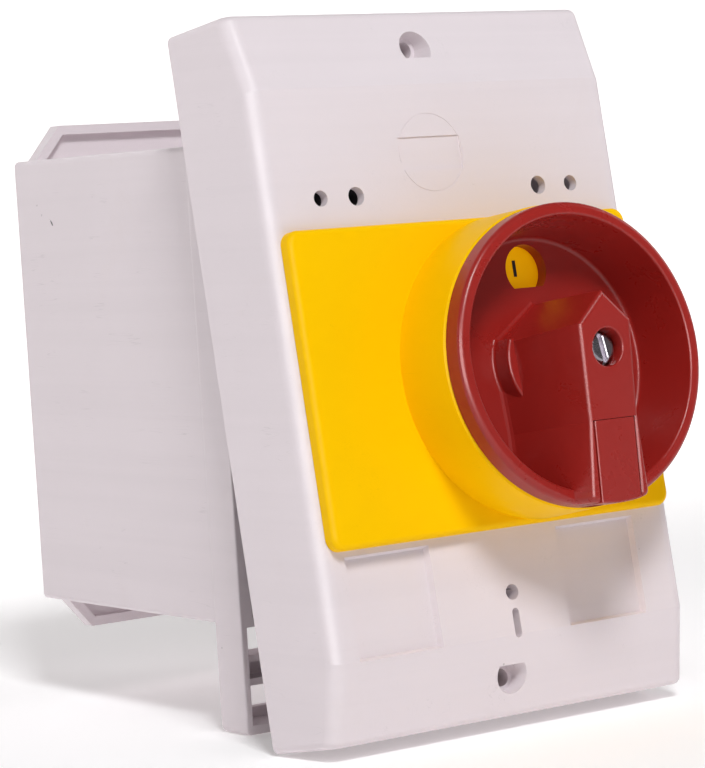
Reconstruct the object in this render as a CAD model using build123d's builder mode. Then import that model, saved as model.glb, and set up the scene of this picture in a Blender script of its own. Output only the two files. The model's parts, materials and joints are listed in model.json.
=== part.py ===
"""Enclosed rotary main switch: flush box, loose front cover and lockable red and yellow handle.

Millimetres, +Z up, front towards -Y. The origin is the centre of the box's back face.
Depths called d are measured from that back face towards the front, so y = -d.
The cover and the handle are drawn on their own tilted planes, because the cover leans open.
"""
import math
import os

from build123d import *

os.makedirs("parts", exist_ok=True)

# ---------------------------------------------------------------- rear box
BOX_W = 83.0
BOX_H = 109.5
WALL = 2.2
BACK_T = 2.0
FLOOR_D = 4.5
FRONT_D = 93.5
EAR_H = 8.5
EAR_SLOPE = 7.2
EAR_INSET = 5.0
EAR_BORDER = 2.3
EAR_BORDER_T = 2.0
BOX_CORNER_R = 1.4
PEDESTAL_EDGE = 2.0
RIM_W = 85.0
RIM_H = 158.8
RIM_DEPTH = 12.0
RIM_WALL = 1.6
RIM_END_WALL = 2.2
RIM_BACK_R = 2.0
RIM_FRONT_R = 0.4
RIM_FLANGE_H = 4.6
RIM_FLANGE_T = 2.5
BRIDGE_Z = 65.3
BRIDGE_H = 7.0
BRIDGE_T = 8.0
BRIDGE_HOLLOW_H = 3.8
BRIDGE_HOLLOW_T = 6.0
BOSS_R = 4.6
BOSS_DROP = 1.0
INSERT_R = 3.0
INSERT_L = 8.0
SCREW_THREAD_R = 1.65
ENTRY_R = 10.2
ENTRY_X = 20.0
ENTRY_D = 48.0
ENTRY_BORE_R = 7.7
GROMMET_FLANGE_R = 12.0
GROMMET_FLANGE_T = 1.0
GROMMET_LIP_T = 1.6
MEMBRANE_T = 0.6
BLOCK_W = 8.0
BLOCK_H = 22.0
BLOCK_T = 9.0
BLOCK_X = 31.0
BLOCK_Z = -36.0
BLOCK_SCREW_PITCH = 11.0
BLOCK_SCREW_R = 1.9
BLOCK_SCREW_L = 2.5
BLOCK_HEAD_R = 2.8
BLOCK_HEAD_T = 2.2
BLOCK_WIRE_R = 2.0
SLOT_CUT_W = 0.9

# ---------------------------------------------------------------- front cover
COVER_H = 160.0
COVER_HALF_BACK = 52.2
COVER_HALF_FRONT = 49.6
COVER_DEPTH = 25.0
COVER_END_DEPTH = 20.0
COVER_FLAT_HALF = 62.3
COVER_WALL = 2.5
COVER_EDGE_R = 3.8
COVER_END_R = 1.8
COVER_LEAN = 8.85
COVER_GAP = 0.4
HINGE_Z = 78.9
SCREW_X = -1.5
SCREW_Z = 71.3
SCREW_WELL_R = 2.9
SCREW_WELL_TAPER = -16.0
SCREW_WELL_FLOOR = 18.2
SCREW_HOLE_R = 2.0
COVER_BOSS_R = 7.0
COVER_BOSS_BACK = 2.0
FERRULE_R = 3.4
FERRULE_L = 12.0
MARK_HOLE_Z = 37.9
MARK_HOLES = ((25.6, 2.1), (35.1, 1.8))
LABEL_W = 22.5
LABEL_H = 22.5
LABEL_Z = -51.1
LABEL_X = (-31.9, 26.4)
LABEL_DEPTH = 1.5
LABEL_TAPER = 20.0
PANEL_W = 17.0
PANEL_H = 7.4
PANEL_X = -3.5
PANEL_Z = 46.7
PANEL_DEPTH = 0.35
INSERT_LINE_R = 9.0
LINE_W = 0.3
LINE_DEPTH = 0.12
LAMP_X = 0.2
LAMP_Z = -52.8
LAMP_R = 1.75
SLOT_X = 0.3
SLOT_Z = -59.7
SLOT_W = 1.9
SLOT_H = 6.6
SEAL_W = 82.0
SEAL_H = 108.6
SEAL_T = 2.0
SEAL_BACK = 0.3
SEAL_FRONT = 3.0
PLATE_SCREW_R = 1.4
PLATE_SCREW_PLAY = 0.2
PLATE_SCREW_BITE = 2.4
PLATE_SCREW_HEAD_R = 2.7
PLATE_SCREW_HEAD_T = 1.8
PLATE_SCREW_X = 33.5
PLATE_SCREW_Z = 27.0

# ---------------------------------------------------------------- yellow plate and collar
DIAL_X = 11.0
DIAL_Z = -3.4
PLATE_W = 94.4
PLATE_H = 69.5
PLATE_X = -0.2
PLATE_Z = -3.8
PLATE_T = 3.5
PLATE_CORNER_R = 3.0
PLATE_EDGE_R = 1.4
COLLAR_R = 34.4
COLLAR_TOP_R = 33.9
COLLAR_BORE_R = 32.5
COLLAR_TOP = 44.2
COLLAR_EDGE_R = 0.4
COVER_BORE_R = 13.5
BUSH_FLANGE_R = 11.8
BUSH_FLANGE_T = 1.5
BUSH_R = 10.5
BUSH_BACK = 21.8
DISC_T = 1.4
DISC_R = 31.0
DISC_BORE_R = 12.2
MARK_T = 0.15
MARK_R = 21.9
ONE_W = 0.85
ONE_H = 3.7
NOUGHT_W = 3.4
NOUGHT_H = 4.6
NOUGHT_LINE = 0.8

# ---------------------------------------------------------------- handle
RING_R = 33.6
RING_BACK = 44.5
RING_FRONT = 49.5
RING_EDGE_R = 1.3
RING_INNER_EDGE_R = 0.7
CUP_TOP_R = 30.7
CUP_FLOOR_R = 28.3
CUP_FLOOR = 34.0
CUP_FLOOR_T = 3.0
CUP_CORNER_R = 1.2
CUP_BACK_R = 30.4
CUP_NECK_R = 32.0
WINDOW_R = 5.7
WINDOW_C = 21.0
WINDOW_FLAT = 17.0
FLOOR_LINES = ((21.4, 43.5, 19.8), (22.5, 110.7, 18.5))
FLOOR_LINE_W = 0.8
FLOOR_LINE_DEPTH = 0.3
HUB_R = 13.1
HUB_TOP = 39.5
HUB_EDGE_R = 0.8
HUB_HIGH = 5.6
BULGE_R = 13.4
BULGE_TOP = 50.5
BULGE_LEFT = 3.0
BULGE_EDGE_R = 1.0
STEM_R = 8.0
STEM_BACK = 18.0
RUN_FIT = 0.05
GRIP_FACE = 57.8
GRIP_SLOPE = 5.4
GRIP_DRAFT = 0.2164
GRIP_HALF = 7.15
GRIP_JOINT_HALF = 6.6
GRIP_TIP_HALF = 8.0
GRIP_APEX = 12.4
GRIP_SHOULDER = 5.8
GRIP_BASE_APEX = 13.0
GRIP_BASE_SHOULDER = 4.6
GRIP_JOINT = 15.4
GRIP_EDGE_R = 1.1
GRIP_TIP_R = 1.4
GRIP_RAIL_CHAMFER = 0.35
ROOT_STEPS = ((0.35, 0.9), (0.9, 0.35))
HUB_ROOT_R = 0.9
TOOL = 60.0
CHANNEL_HALF = 5.85
CHANNEL_BACK = 50.0
GROOVE_HALF = 6.55
GROOVE_FRONT = 51.6
SLOT_HALF = 4.2
SLOT_BACK = 45.0
SLIDE_TOP = 15.52
SLIDE_HALF = 5.6
SLIDE_HEAD_BACK = 50.2
SLIDE_RIB_HALF = 6.35
SLIDE_RIB_FRONT = 51.4
SLIDE_TONGUE_HALF = 3.9
SLIDE_TONGUE_BACK = 45.3
SLIDE_TONGUE_TIP = 32.6
SLIDE_EDGE_R = 0.5
PADLOCK_R = 2.4
PADLOCK_Z = 27.2
PADLOCK_D = 49.0
SPRING_BORE_R = 1.6
SPRING_L = 7.0
SPRING_D = 53.2
SPRING_R = 1.1
SPRING_WIRE_R = 0.25
SPRING_TURNS = 6
SCREW_PLAY = 0.2
HEAD_R = 3.5
HEAD_TOP = 56.1
HEAD_T = 2.4
HEAD_SLOT_W = 1.25
HEAD_SLOT_ANGLE = 8.0
HEAD_SLOT_DEPTH = 1.1
HEAD_SLOT_CHAMFER = 0.2
HEAD_EDGE_R = 1.2
HEAD_WELL_R = 4.15
WELL_EDGE_R = 0.4
WASHER_T = 0.8
WASHER_R = 3.9
WASHER_PLAY = 0.1
SHAFT_SIDE = 8.0
SHAFT_FRONT = 46.0
SHAFT_BACK = -1.0
SHAFT_EDGE_R = 0.5
SHAFT_TAP_L = 12.0
SOCKET_PLAY = 0.1
HANDLE_SCREW_R = 2.0
HANDLE_SCREW_L = 16.0
DRIVER_R = 12.0
DRIVER_BACK = -7.5
DRIVER_FRONT = 8.0
DRIVER_SLOT_W = 9.0
DRIVER_SLOT_DEPTH = 6.0
PIN_R = 1.25
PIN_D = 3.5
PIN_HALF_L = 11.4
CLIP_D = 20.2
CLIP_T = 1.2
CLIP_R = 10.2
CLIP_BORE_R = 7.1
CLIP_MOUTH_W = 5.0
CLIP_MOUTH_L = 16.4
ORING_R = 8.85
ORING_WIRE_R = 0.8
ORING_D = 25.2
ORING_PLAY = 0.1

# ---------------------------------------------------------------- rail and switch
RAIL_D = 8.5
RAIL_T = 1.0
RAIL_DEPTH = 7.5
RAIL_W = 35.0
RAIL_BASE_W = 25.0
RAIL_L = 74.0
RAIL_POST_X = 31.0
RAIL_POST_R = 5.0
RAIL_SCREW_R = 2.0
RAIL_SCREW_BITE = 1.5
RAIL_HEAD_T = 2.2
RAIL_HEAD_EDGE_R = 0.8
RAIL_HEAD_CROSS_W = 0.9
RAIL_HEAD_CROSS_DEPTH = 1.0
SWITCH_W = 45.0
SWITCH_H = 90.0
SWITCH_CORNER_R = 1.5
BASE_BACK = 16.4
BASE_FRONT = 44.0
POLE_PITCH = 14.0
PASSAGE_PLAY = 1.0
WIRE_RISE = 4.5
HOOK_D = 12.0
HOOK_T = 2.6
HOOK_TIP = 14.6
HOOK_FOOT = 18.0
HOOK_TOP = 22.0
HOOK_ROOT = 25.0
GUIDE_PLAY = 0.4
GUIDE_WALL = 2.4
GUIDE_Z = -32.0
GUIDE_H = 18.0
GUIDE_BAR_H = 12.0
GUIDE_BAR_T = 1.6
GUIDE_DROP = 2.0
CHANNEL_W = 12.0
CHANNEL_H = 85.0
CHANNEL_FLOOR = 24.0
HOUSING_STEP = 62.0
HOUSING_CAVITY = 60.0
NOSE_FRONT = 80.0
NOSE_H = 46.0
NOSE_WALL = 4.0
NOSE_RIB_X = -13.25
NOSE_RIB_W = 14.0
NOSE_RIB_H = 1.0
NOSE_RIB_PITCH = 5.0
NOSE_RIB_COUNT = 7
NOSE_RIB_T = 0.6
KNOB_R = 13.0
KNOB_FRONT = 86.0
KNOB_SINK = 1.5
KNOB_GAP = 0.8
KNOB_PLAY = 1.0
KNOB_CHAMFER = 0.8
KEY_W = 6.0
KEY_L = 19.0
KEY_H = 5.0
KEY_CORNER_R = 1.0
KEY_CHAMFER = 0.7
CAM_R = 9.0
CAM_T = 8.0
CAM_NOTCH_R = 2.4
CAM_PLAY = 0.5
ROTOR_R = 6.0
STRIP_W = 8.0
STRIP_T = 1.5
STRIP_IN = 11.0
STRIP_OUT = 41.0
TIP_R = 2.2
TIP_T = 1.2
TIP_Z = 14.5
TIP_GAP = 0.3
CONTACT_TRAVEL = 4.0
BRIDGE_HALF = 18.0
BRIDGE_CORNER_R = 1.0
CAGE_W = 11.0
CAGE_CHEEK = 0.9
CAGE_DROP = 2.0
CAGE_PLAY = 0.4
FOLLOWER_R = 1.6
FOLLOWER_L = 1.3
FOLLOWER_SINK = 0.5
FOLLOWER_PLACES = ((-6.8, 2.0), (4.8, 2.0))
CARRIER_H = 8.0
CARRIER_BAR_D = 36.5
CARRIER_BAR_T = 4.0
CLAMP_SIDE = 9.0
CLAMP_Z = 36.0
CLAMP_H = 10.0
CLAMP_WALL = 1.2
CLAMP_MOUTH = 6.2
TERM_SCREW_R = 2.5
TERM_SCREW_RISE = 8.0
TERM_HEAD_R = 3.0
TERM_HEAD_D = 46.0
TERM_HEAD_T = 2.4
TERM_SLOT_W = 0.9
TERM_SLOT_DEPTH = 1.0
TERM_ACCESS_R = 3.4
WIRE_R = 3.2
LATCH_W = 12.0
LATCH_T = 2.0
LATCH_D = 12.4
LATCH_TOP = -14.8
LATCH_BOTTOM = -48.1
LATCH_SLOT_Z = -46.1
LATCH_SLOT_W = 5.0
LATCH_SLOT_H = 1.4
LATCH_LIP_Z = -46.8
LATCH_LIP_H = 2.4
LATCH_LIP_T = 5.0
ARC_PLATE_T = 1.0
ARC_PLATE_PITCH = 2.4
ARC_PLATE_D = 38.0
ARC_PLATE_Z = 25.0
ARC_PLATE_RISE = 4.0
ARC_PLATE_COUNT = 4
ARC_PLATE_W = 11.0
CONTACT_SPRING_R = 2.8
CONTACT_WIRE_R = 0.4
CONTACT_SPRING_TURNS = 4
CONTACT_SPRING_PLAY = 0.1

POLES = (-POLE_PITCH, 0.0, POLE_PITCH)
ENDS = (1, -1)

# Planes. back_view looks from the front: local x = +X, local y = +Z, local z = towards the front.
back_view = Plane.XZ
lean = math.radians(COVER_LEAN)
hinge_y = -(FRONT_D + COVER_GAP)
out_of_cover = Vector(0, -math.cos(lean), math.sin(lean))
down_the_cover = Vector(0, -math.sin(lean), -math.cos(lean))
cover_centre = Vector(0, hinge_y, HINGE_Z) + down_the_cover * (COVER_H / 2)
cover_face = Plane(origin=cover_centre, x_dir=(1, 0, 0), z_dir=out_of_cover)
dial_centre = cover_face.from_local_coords(Vector(DIAL_X, DIAL_Z, 0))
dial = Plane(origin=dial_centre, x_dir=(1, 0, 0), z_dir=out_of_cover)
dial_axis = Axis(dial.origin, dial.z_dir)
# radial sections: local x is the radius, local y runs along the axis
dial_section = Plane(origin=dial.origin, x_dir=dial.x_dir, z_dir=-dial.y_dir)
dial_side = Plane(origin=dial.origin, x_dir=dial.y_dir, z_dir=dial.x_dir)
cover_top_view = Plane(origin=cover_centre, x_dir=(1, 0, 0), z_dir=-cover_face.y_dir)
cover_side = Plane(origin=cover_centre, x_dir=cover_face.y_dir, z_dir=cover_face.x_dir)
# the cover hangs a little low, so its screw bosses meet the box at these heights when it is shut
closed_shift = HINGE_Z - COVER_H / 2
boss_heights = [side * SCREW_Z + closed_shift for side in ENDS]
knob_plane = Plane(origin=(DIAL_X, 0, DIAL_Z + closed_shift), x_dir=(1, 0, 0), z_dir=(0, -1, 0))


def save(part, name):
    """Label a finished piece and write its STEP file."""
    part.part.label = name
    export_step(part.part, f"parts/{name}.step")


# ================================================================ fixed pieces in the box
def add_ear_outline(shrink):
    """Octagonal outline of the back plate whose ends are the ears, inset by shrink."""
    half_ear = BOX_W / 2 - EAR_INSET
    ear_top = BOX_H / 2 + EAR_H
    with BuildSketch(mode=Mode.PRIVATE) as ears:
        with BuildLine():
            Polyline(
                (-half_ear, -BOX_H / 2), (-half_ear + EAR_SLOPE, -ear_top), (half_ear - EAR_SLOPE, -ear_top),
                (half_ear, -BOX_H / 2), (half_ear, BOX_H / 2), (half_ear - EAR_SLOPE, ear_top),
                (-half_ear + EAR_SLOPE, ear_top), (-half_ear, BOX_H / 2), close=True,
            )
        make_face()
        if shrink:
            offset(amount=-shrink, kind=Kind.INTERSECTION)
    return ears.sketch


def make_rear_box():
    """Deep box with its rim frame, open loops above and below, back ears, bosses and posts."""
    with BuildPart() as rear_box:
        with BuildSketch(back_view.offset(BACK_T)):
            Rectangle(BOX_W, BOX_H)
        extrude(amount=FRONT_D - BACK_T)
        box_edges = rear_box.edges().filter_by(Axis.Y)
        fillet(box_edges, radius=BOX_CORNER_R)
        with BuildPart(mode=Mode.PRIVATE) as rim:
            with BuildSketch(back_view.offset(FRONT_D - RIM_DEPTH)):
                Rectangle(RIM_W, RIM_H)
            extrude(amount=RIM_DEPTH)
            fillet(rim.edges().filter_by(Axis.Y), radius=BOX_CORNER_R)
            fillet(rim.faces().sort_by(Axis.Y)[-1].edges().filter_by(Axis.X), radius=RIM_BACK_R)
            fillet(rim.faces().sort_by(Axis.Y)[0].edges(), radius=RIM_FRONT_R)
        add(rim.part)
        with BuildSketch(back_view):
            add(add_ear_outline(0))
        extrude(amount=BACK_T)
        with BuildSketch(back_view.offset(BACK_T)):
            add(add_ear_outline(0))
            add(add_ear_outline(EAR_BORDER), mode=Mode.SUBTRACT)
        extrude(amount=EAR_BORDER_T)
        with BuildSketch(back_view.offset(FLOOR_D)):
            Rectangle(BOX_W - 2 * WALL, BOX_H - 2 * WALL)
        extrude(amount=FRONT_D, mode=Mode.SUBTRACT)
        # open loops of the rim above and below the box
        loop_top = RIM_H / 2 - RIM_END_WALL
        loop_low = BOX_H / 2
        with BuildSketch(back_view.offset(FRONT_D - RIM_DEPTH + RIM_FLANGE_T)):
            for side in ENDS:
                with Locations((0, side * (loop_top + loop_low) / 2)):
                    Rectangle(RIM_W - 2 * RIM_WALL, loop_top - loop_low)
        extrude(amount=RIM_DEPTH, mode=Mode.SUBTRACT)
        window_top = RIM_H / 2 - RIM_FLANGE_H
        with BuildSketch(back_view.offset(FRONT_D - RIM_DEPTH)):
            for side in ENDS:
                with Locations((0, side * (window_top + loop_low) / 2)):
                    Rectangle(RIM_W - 2 * RIM_WALL, window_top - loop_low)
        extrude(amount=RIM_FLANGE_T, mode=Mode.SUBTRACT)
        # hollow bridges across the loops, with a boss each for the cover screws
        with BuildSketch(back_view.offset(FRONT_D - RIM_DEPTH)):
            for side in ENDS:
                with Locations((0, side * BRIDGE_Z)):
                    Rectangle(RIM_W - 2 * RIM_WALL, BRIDGE_H)
        extrude(amount=BRIDGE_T)
        with BuildSketch(back_view.offset(FRONT_D - RIM_DEPTH + BRIDGE_T - BRIDGE_HOLLOW_T)):
            for side in ENDS:
                with Locations((0, side * BRIDGE_Z)):
                    Rectangle(RIM_W - 2 * RIM_WALL, BRIDGE_HOLLOW_H)
        extrude(amount=BRIDGE_HOLLOW_T, mode=Mode.SUBTRACT)
        with BuildSketch(back_view.offset(FRONT_D - RIM_DEPTH)):
            for height in boss_heights:
                with Locations((SCREW_X, height)):
                    Circle(BOSS_R)
        extrude(amount=RIM_DEPTH - BOSS_DROP)
        with BuildSketch(back_view.offset(FRONT_D - BOSS_DROP - INSERT_L)):
            for height in boss_heights:
                with Locations((SCREW_X, height)):
                    Circle(INSERT_R)
        extrude(amount=RIM_DEPTH, mode=Mode.SUBTRACT)
        # posts for the rail and pedestals for the earth and neutral blocks
        with BuildSketch(back_view.offset(FLOOR_D)):
            with Locations((-RAIL_POST_X, 0), (RAIL_POST_X, 0)):
                Circle(RAIL_POST_R)
            with Locations(*terminal_block_places()):
                Rectangle(BLOCK_W + PEDESTAL_EDGE, BLOCK_H + PEDESTAL_EDGE)
        extrude(amount=RAIL_D - FLOOR_D)
        with BuildSketch(back_view.offset(FLOOR_D - RAIL_SCREW_BITE)):
            with Locations((-RAIL_POST_X, 0), (RAIL_POST_X, 0)):
                Circle(RAIL_SCREW_R)
        extrude(amount=RAIL_D, mode=Mode.SUBTRACT)
        # cable entries, counterbored outside for the grommets' flanges
        with BuildSketch(Plane.XY):
            with Locations(*entry_places()):
                Circle(ENTRY_R)
        extrude(amount=BOX_H, both=True, mode=Mode.SUBTRACT)
        for side in ENDS:
            with BuildSketch(Plane.XY.offset(side * (BOX_H / 2 - GROMMET_FLANGE_T))):
                with Locations(*entry_places()):
                    Circle(GROMMET_FLANGE_R)
            extrude(amount=side * BOX_H, mode=Mode.SUBTRACT)
    save(rear_box, "rear_box")


def entry_places():
    """Centres of the two cable entries in the top and bottom walls, as x and y."""
    return [(-ENTRY_X, -ENTRY_D), (ENTRY_X, -ENTRY_D)]


def terminal_block_places():
    """Centres of the earth block (left) and the neutral block (right)."""
    return [(-BLOCK_X, BLOCK_Z), (BLOCK_X, BLOCK_Z)]


def make_screw_inserts():
    """Threaded brass inserts that take the two cover screws."""
    with BuildPart() as screw_inserts:
        with BuildSketch(back_view.offset(FRONT_D - BOSS_DROP - INSERT_L)):
            for height in boss_heights:
                with Locations((SCREW_X, height)):
                    Circle(INSERT_R)
                    Circle(SCREW_THREAD_R, mode=Mode.SUBTRACT)
        extrude(amount=INSERT_L)
    save(screw_inserts, "screw_inserts")


def make_din_rail():
    """Top-hat rail, 35 mm by 7.5 mm."""
    wall_d = -(RAIL_D + RAIL_DEPTH / 2)
    brim = (RAIL_W - RAIL_BASE_W) / 2
    with BuildPart() as din_rail:
        with BuildSketch(Plane.YZ.offset(-RAIL_L / 2)):
            with Locations((-(RAIL_D + RAIL_T / 2), 0)):
                Rectangle(RAIL_T, RAIL_BASE_W)
            for side in ENDS:
                with Locations((wall_d, side * (RAIL_BASE_W - RAIL_T) / 2)):
                    Rectangle(RAIL_DEPTH, RAIL_T)
                with Locations((-(RAIL_D + RAIL_DEPTH - RAIL_T / 2), side * (RAIL_W - brim) / 2)):
                    Rectangle(RAIL_T, brim)
        extrude(amount=RAIL_L)
        with BuildSketch(back_view.offset(RAIL_D)):
            with Locations((-RAIL_POST_X, 0), (RAIL_POST_X, 0)):
                Circle(RAIL_SCREW_R + 0.25)
        extrude(amount=RAIL_T, mode=Mode.SUBTRACT)
    save(din_rail, "din_rail")


def make_rail_screws():
    """Pan-head screws that hold the rail to its posts."""
    seat = RAIL_D + RAIL_T
    places = [(-RAIL_POST_X, 0), (RAIL_POST_X, 0)]
    with BuildPart() as rail_screws:
        with BuildSketch(back_view.offset(FLOOR_D - RAIL_SCREW_BITE)):
            with Locations(*places):
                Circle(RAIL_SCREW_R)
        extrude(amount=seat - FLOOR_D + RAIL_SCREW_BITE)
        with BuildSketch(back_view.offset(seat)):
            with Locations(*places):
                Circle(2 * RAIL_SCREW_R)
        extrude(amount=RAIL_HEAD_T)
        fillet(rail_screws.faces().sort_by(Axis.Y)[0:2].edges(), radius=RAIL_HEAD_EDGE_R)
        with BuildSketch(back_view.offset(seat + RAIL_HEAD_T - RAIL_HEAD_CROSS_DEPTH)):
            with Locations(*places):
                Rectangle(4 * RAIL_SCREW_R, RAIL_HEAD_CROSS_W)
                Rectangle(RAIL_HEAD_CROSS_W, 4 * RAIL_SCREW_R)
        extrude(amount=RAIL_HEAD_T, mode=Mode.SUBTRACT)
    save(rail_screws, "rail_screws")


def make_entry_grommets(side, name):
    """Pair of push-in cable-entry membranes in the top or bottom wall, flush outside."""
    outer = side * BOX_H / 2
    inner = side * (BOX_H / 2 - WALL)
    with BuildPart() as grommets:
        with BuildSketch(Plane.XY.offset(inner - side * GROMMET_LIP_T)):
            with Locations(*entry_places()):
                Circle(GROMMET_FLANGE_R)
        extrude(amount=side * GROMMET_LIP_T)
        with BuildSketch(Plane.XY.offset(inner)):
            with Locations(*entry_places()):
                Circle(ENTRY_R)
        extrude(amount=side * WALL)
        with BuildSketch(Plane.XY.offset(outer - side * GROMMET_FLANGE_T)):
            with Locations(*entry_places()):
                Circle(GROMMET_FLANGE_R)
        extrude(amount=side * GROMMET_FLANGE_T)
        # thin membrane, dished from both sides
        with BuildSketch(Plane.XY.offset(outer - side * MEMBRANE_T)):
            with Locations(*entry_places()):
                Circle(ENTRY_BORE_R)
                Circle(ENTRY_BORE_R / 2, mode=Mode.SUBTRACT)
        extrude(amount=side * BOX_H, mode=Mode.SUBTRACT)
        with BuildSketch(Plane.XY.offset(outer - side * 2 * MEMBRANE_T)):
            with Locations(*entry_places()):
                Circle(ENTRY_BORE_R)
        extrude(amount=-side * BOX_H, mode=Mode.SUBTRACT)
    save(grommets, name)


def make_terminal_block(place, name):
    """Brass block with two wire holes and two clamp-screw holes."""
    with BuildPart() as block:
        with BuildSketch(back_view.offset(RAIL_D)):
            with Locations(place):
                RectangleRounded(BLOCK_W, BLOCK_H, 1.0)
        extrude(amount=BLOCK_T)
        with BuildSketch(back_view.offset(RAIL_D + BLOCK_T / 2)):
            with Locations(place):
                with GridLocations(0, BLOCK_SCREW_PITCH, 1, 2):
                    Circle(BLOCK_SCREW_R)
        extrude(amount=BLOCK_T, mode=Mode.SUBTRACT)
        with BuildSketch(Plane.YZ.offset(place[0] - BLOCK_W)):
            with Locations((-(RAIL_D + BLOCK_T * 0.4), place[1])):
                with GridLocations(0, BLOCK_SCREW_PITCH, 1, 2):
                    Circle(BLOCK_WIRE_R)
        extrude(amount=2 * BLOCK_W, mode=Mode.SUBTRACT)
    save(block, name)


def make_block_screws():
    """Slotted clamp screws of the earth and neutral blocks."""
    face = RAIL_D + BLOCK_T
    with BuildPart() as block_screws:
        for place in terminal_block_places():
            with BuildSketch(back_view.offset(face - BLOCK_SCREW_L)):
                with Locations(place):
                    with GridLocations(0, BLOCK_SCREW_PITCH, 1, 2):
                        Circle(BLOCK_SCREW_R)
            extrude(amount=BLOCK_SCREW_L)
            with BuildSketch(back_view.offset(face)):
                with Locations(place):
                    with GridLocations(0, BLOCK_SCREW_PITCH, 1, 2):
                        Circle(BLOCK_HEAD_R)
            extrude(amount=BLOCK_HEAD_T)
            with BuildSketch(back_view.offset(face + BLOCK_HEAD_T / 2)):
                with Locations(place):
                    with GridLocations(0, BLOCK_SCREW_PITCH, 1, 2):
                        Rectangle(2 * BLOCK_HEAD_R, SLOT_CUT_W)
            extrude(amount=BLOCK_HEAD_T, mode=Mode.SUBTRACT)
    save(block_screws, "block_screws")


# ================================================================ switch body
def make_switch_base():
    """Rear half of the switch: three pole channels, wire entries and the rail hooks."""
    with BuildPart() as switch_base:
        with BuildSketch(back_view.offset(BASE_BACK)):
            RectangleRounded(SWITCH_W, SWITCH_H, SWITCH_CORNER_R)
        extrude(amount=BASE_FRONT - BASE_BACK)
        with BuildSketch(back_view.offset(CHANNEL_FLOOR)):
            for pole in POLES:
                with Locations((pole, 0)):
                    Rectangle(CHANNEL_W, CHANNEL_H)
        extrude(amount=SWITCH_H, mode=Mode.SUBTRACT)
        # cross passage for the carrier bar
        with BuildSketch(back_view.offset(CARRIER_BAR_D - PASSAGE_PLAY)):
            Rectangle(2 * POLE_PITCH + CHANNEL_W, CARRIER_H + 2 * PASSAGE_PLAY)
        extrude(amount=SWITCH_H, mode=Mode.SUBTRACT)
        with BuildSketch(Plane.XY.offset(-SWITCH_H)):
            for pole in POLES:
                with Locations((pole, -(CHANNEL_FLOOR + STRIP_T + WIRE_RISE))):
                    Circle(WIRE_R)
        extrude(amount=2 * SWITCH_H, mode=Mode.SUBTRACT)
        # fixed upper hook behind the rail's brim
        with BuildSketch(Plane.YZ.offset(-SWITCH_W / 3)):
            with BuildLine():
                Polyline(
                    (-BASE_BACK, HOOK_FOOT), (-HOOK_D - HOOK_T, HOOK_FOOT), (-HOOK_D - HOOK_T, HOOK_TIP),
                    (-HOOK_D, HOOK_TIP), (-HOOK_D, HOOK_TOP), (-BASE_BACK, HOOK_ROOT), close=True,
                )
            make_face()
        extrude(amount=SWITCH_W * 2 / 3)
        # guide for the lower latch
        guide_x = LATCH_W / 2 + GUIDE_PLAY
        with BuildSketch(back_view.offset(BASE_BACK)):
            for side in ENDS:
                with Locations((side * (guide_x + GUIDE_WALL / 2), GUIDE_Z)):
                    Rectangle(GUIDE_WALL, GUIDE_H)
        extrude(amount=-(BASE_BACK - LATCH_D + GUIDE_DROP))
        with BuildSketch(back_view.offset(LATCH_D - GUIDE_DROP)):
            with Locations((0, GUIDE_Z)):
                Rectangle(2 * (guide_x + GUIDE_WALL), GUIDE_BAR_H)
        extrude(amount=GUIDE_BAR_T)
    save(switch_base, "switch_base")


def make_din_latch():
    """Sliding lower latch that grips the rail's lower brim."""
    with BuildPart() as din_latch:
        with BuildSketch(back_view.offset(LATCH_D)):
            with Locations((0, (LATCH_TOP + LATCH_BOTTOM) / 2)):
                Rectangle(LATCH_W, LATCH_TOP - LATCH_BOTTOM)
            with Locations((0, LATCH_SLOT_Z)):
                Rectangle(LATCH_SLOT_W, LATCH_SLOT_H, mode=Mode.SUBTRACT)
        extrude(amount=LATCH_T)
        with BuildSketch(back_view.offset(LATCH_D + LATCH_T)):
            with Locations((0, LATCH_LIP_Z)):
                Rectangle(LATCH_W, LATCH_LIP_H)
        extrude(amount=LATCH_LIP_T)
    save(din_latch, "din_latch")


def make_switch_housing():
    """Front half of the switch: stepped shell with the rotor bore and screw access holes."""
    with BuildPart() as switch_housing:
        with BuildSketch(back_view.offset(BASE_FRONT)):
            RectangleRounded(SWITCH_W, SWITCH_H, SWITCH_CORNER_R)
        extrude(amount=HOUSING_STEP - BASE_FRONT)
        with BuildSketch(back_view.offset(HOUSING_STEP)):
            RectangleRounded(SWITCH_W, NOSE_H, SWITCH_CORNER_R)
        extrude(amount=NOSE_FRONT - HOUSING_STEP)
        with BuildSketch(back_view.offset(BASE_FRONT)):
            Rectangle(2 * POLE_PITCH + CHANNEL_W, NOSE_H - 2 * NOSE_WALL)
        extrude(amount=HOUSING_CAVITY - BASE_FRONT, mode=Mode.SUBTRACT)
        with BuildSketch(knob_plane.offset(HOUSING_CAVITY)):
            Circle(ROTOR_R + RUN_FIT)
        extrude(amount=NOSE_FRONT, mode=Mode.SUBTRACT)
        with BuildSketch(knob_plane.offset(NOSE_FRONT - KNOB_SINK)):
            Circle(KNOB_R + KNOB_PLAY)
        extrude(amount=NOSE_FRONT, mode=Mode.SUBTRACT)
        with BuildSketch(back_view.offset(BASE_FRONT)):
            for pole in POLES:
                with Locations((pole, CLAMP_Z), (pole, -CLAMP_Z)):
                    Circle(TERM_ACCESS_R)
        extrude(amount=SWITCH_H, mode=Mode.SUBTRACT)
        # moulded ribs across the nose
        with BuildSketch(back_view.offset(NOSE_FRONT)):
            with Locations((NOSE_RIB_X, 0)):
                with GridLocations(0, NOSE_RIB_PITCH, 1, NOSE_RIB_COUNT):
                    Rectangle(NOSE_RIB_W, NOSE_RIB_H)
        extrude(amount=NOSE_RIB_T)
    save(switch_housing, "switch_housing")


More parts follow.
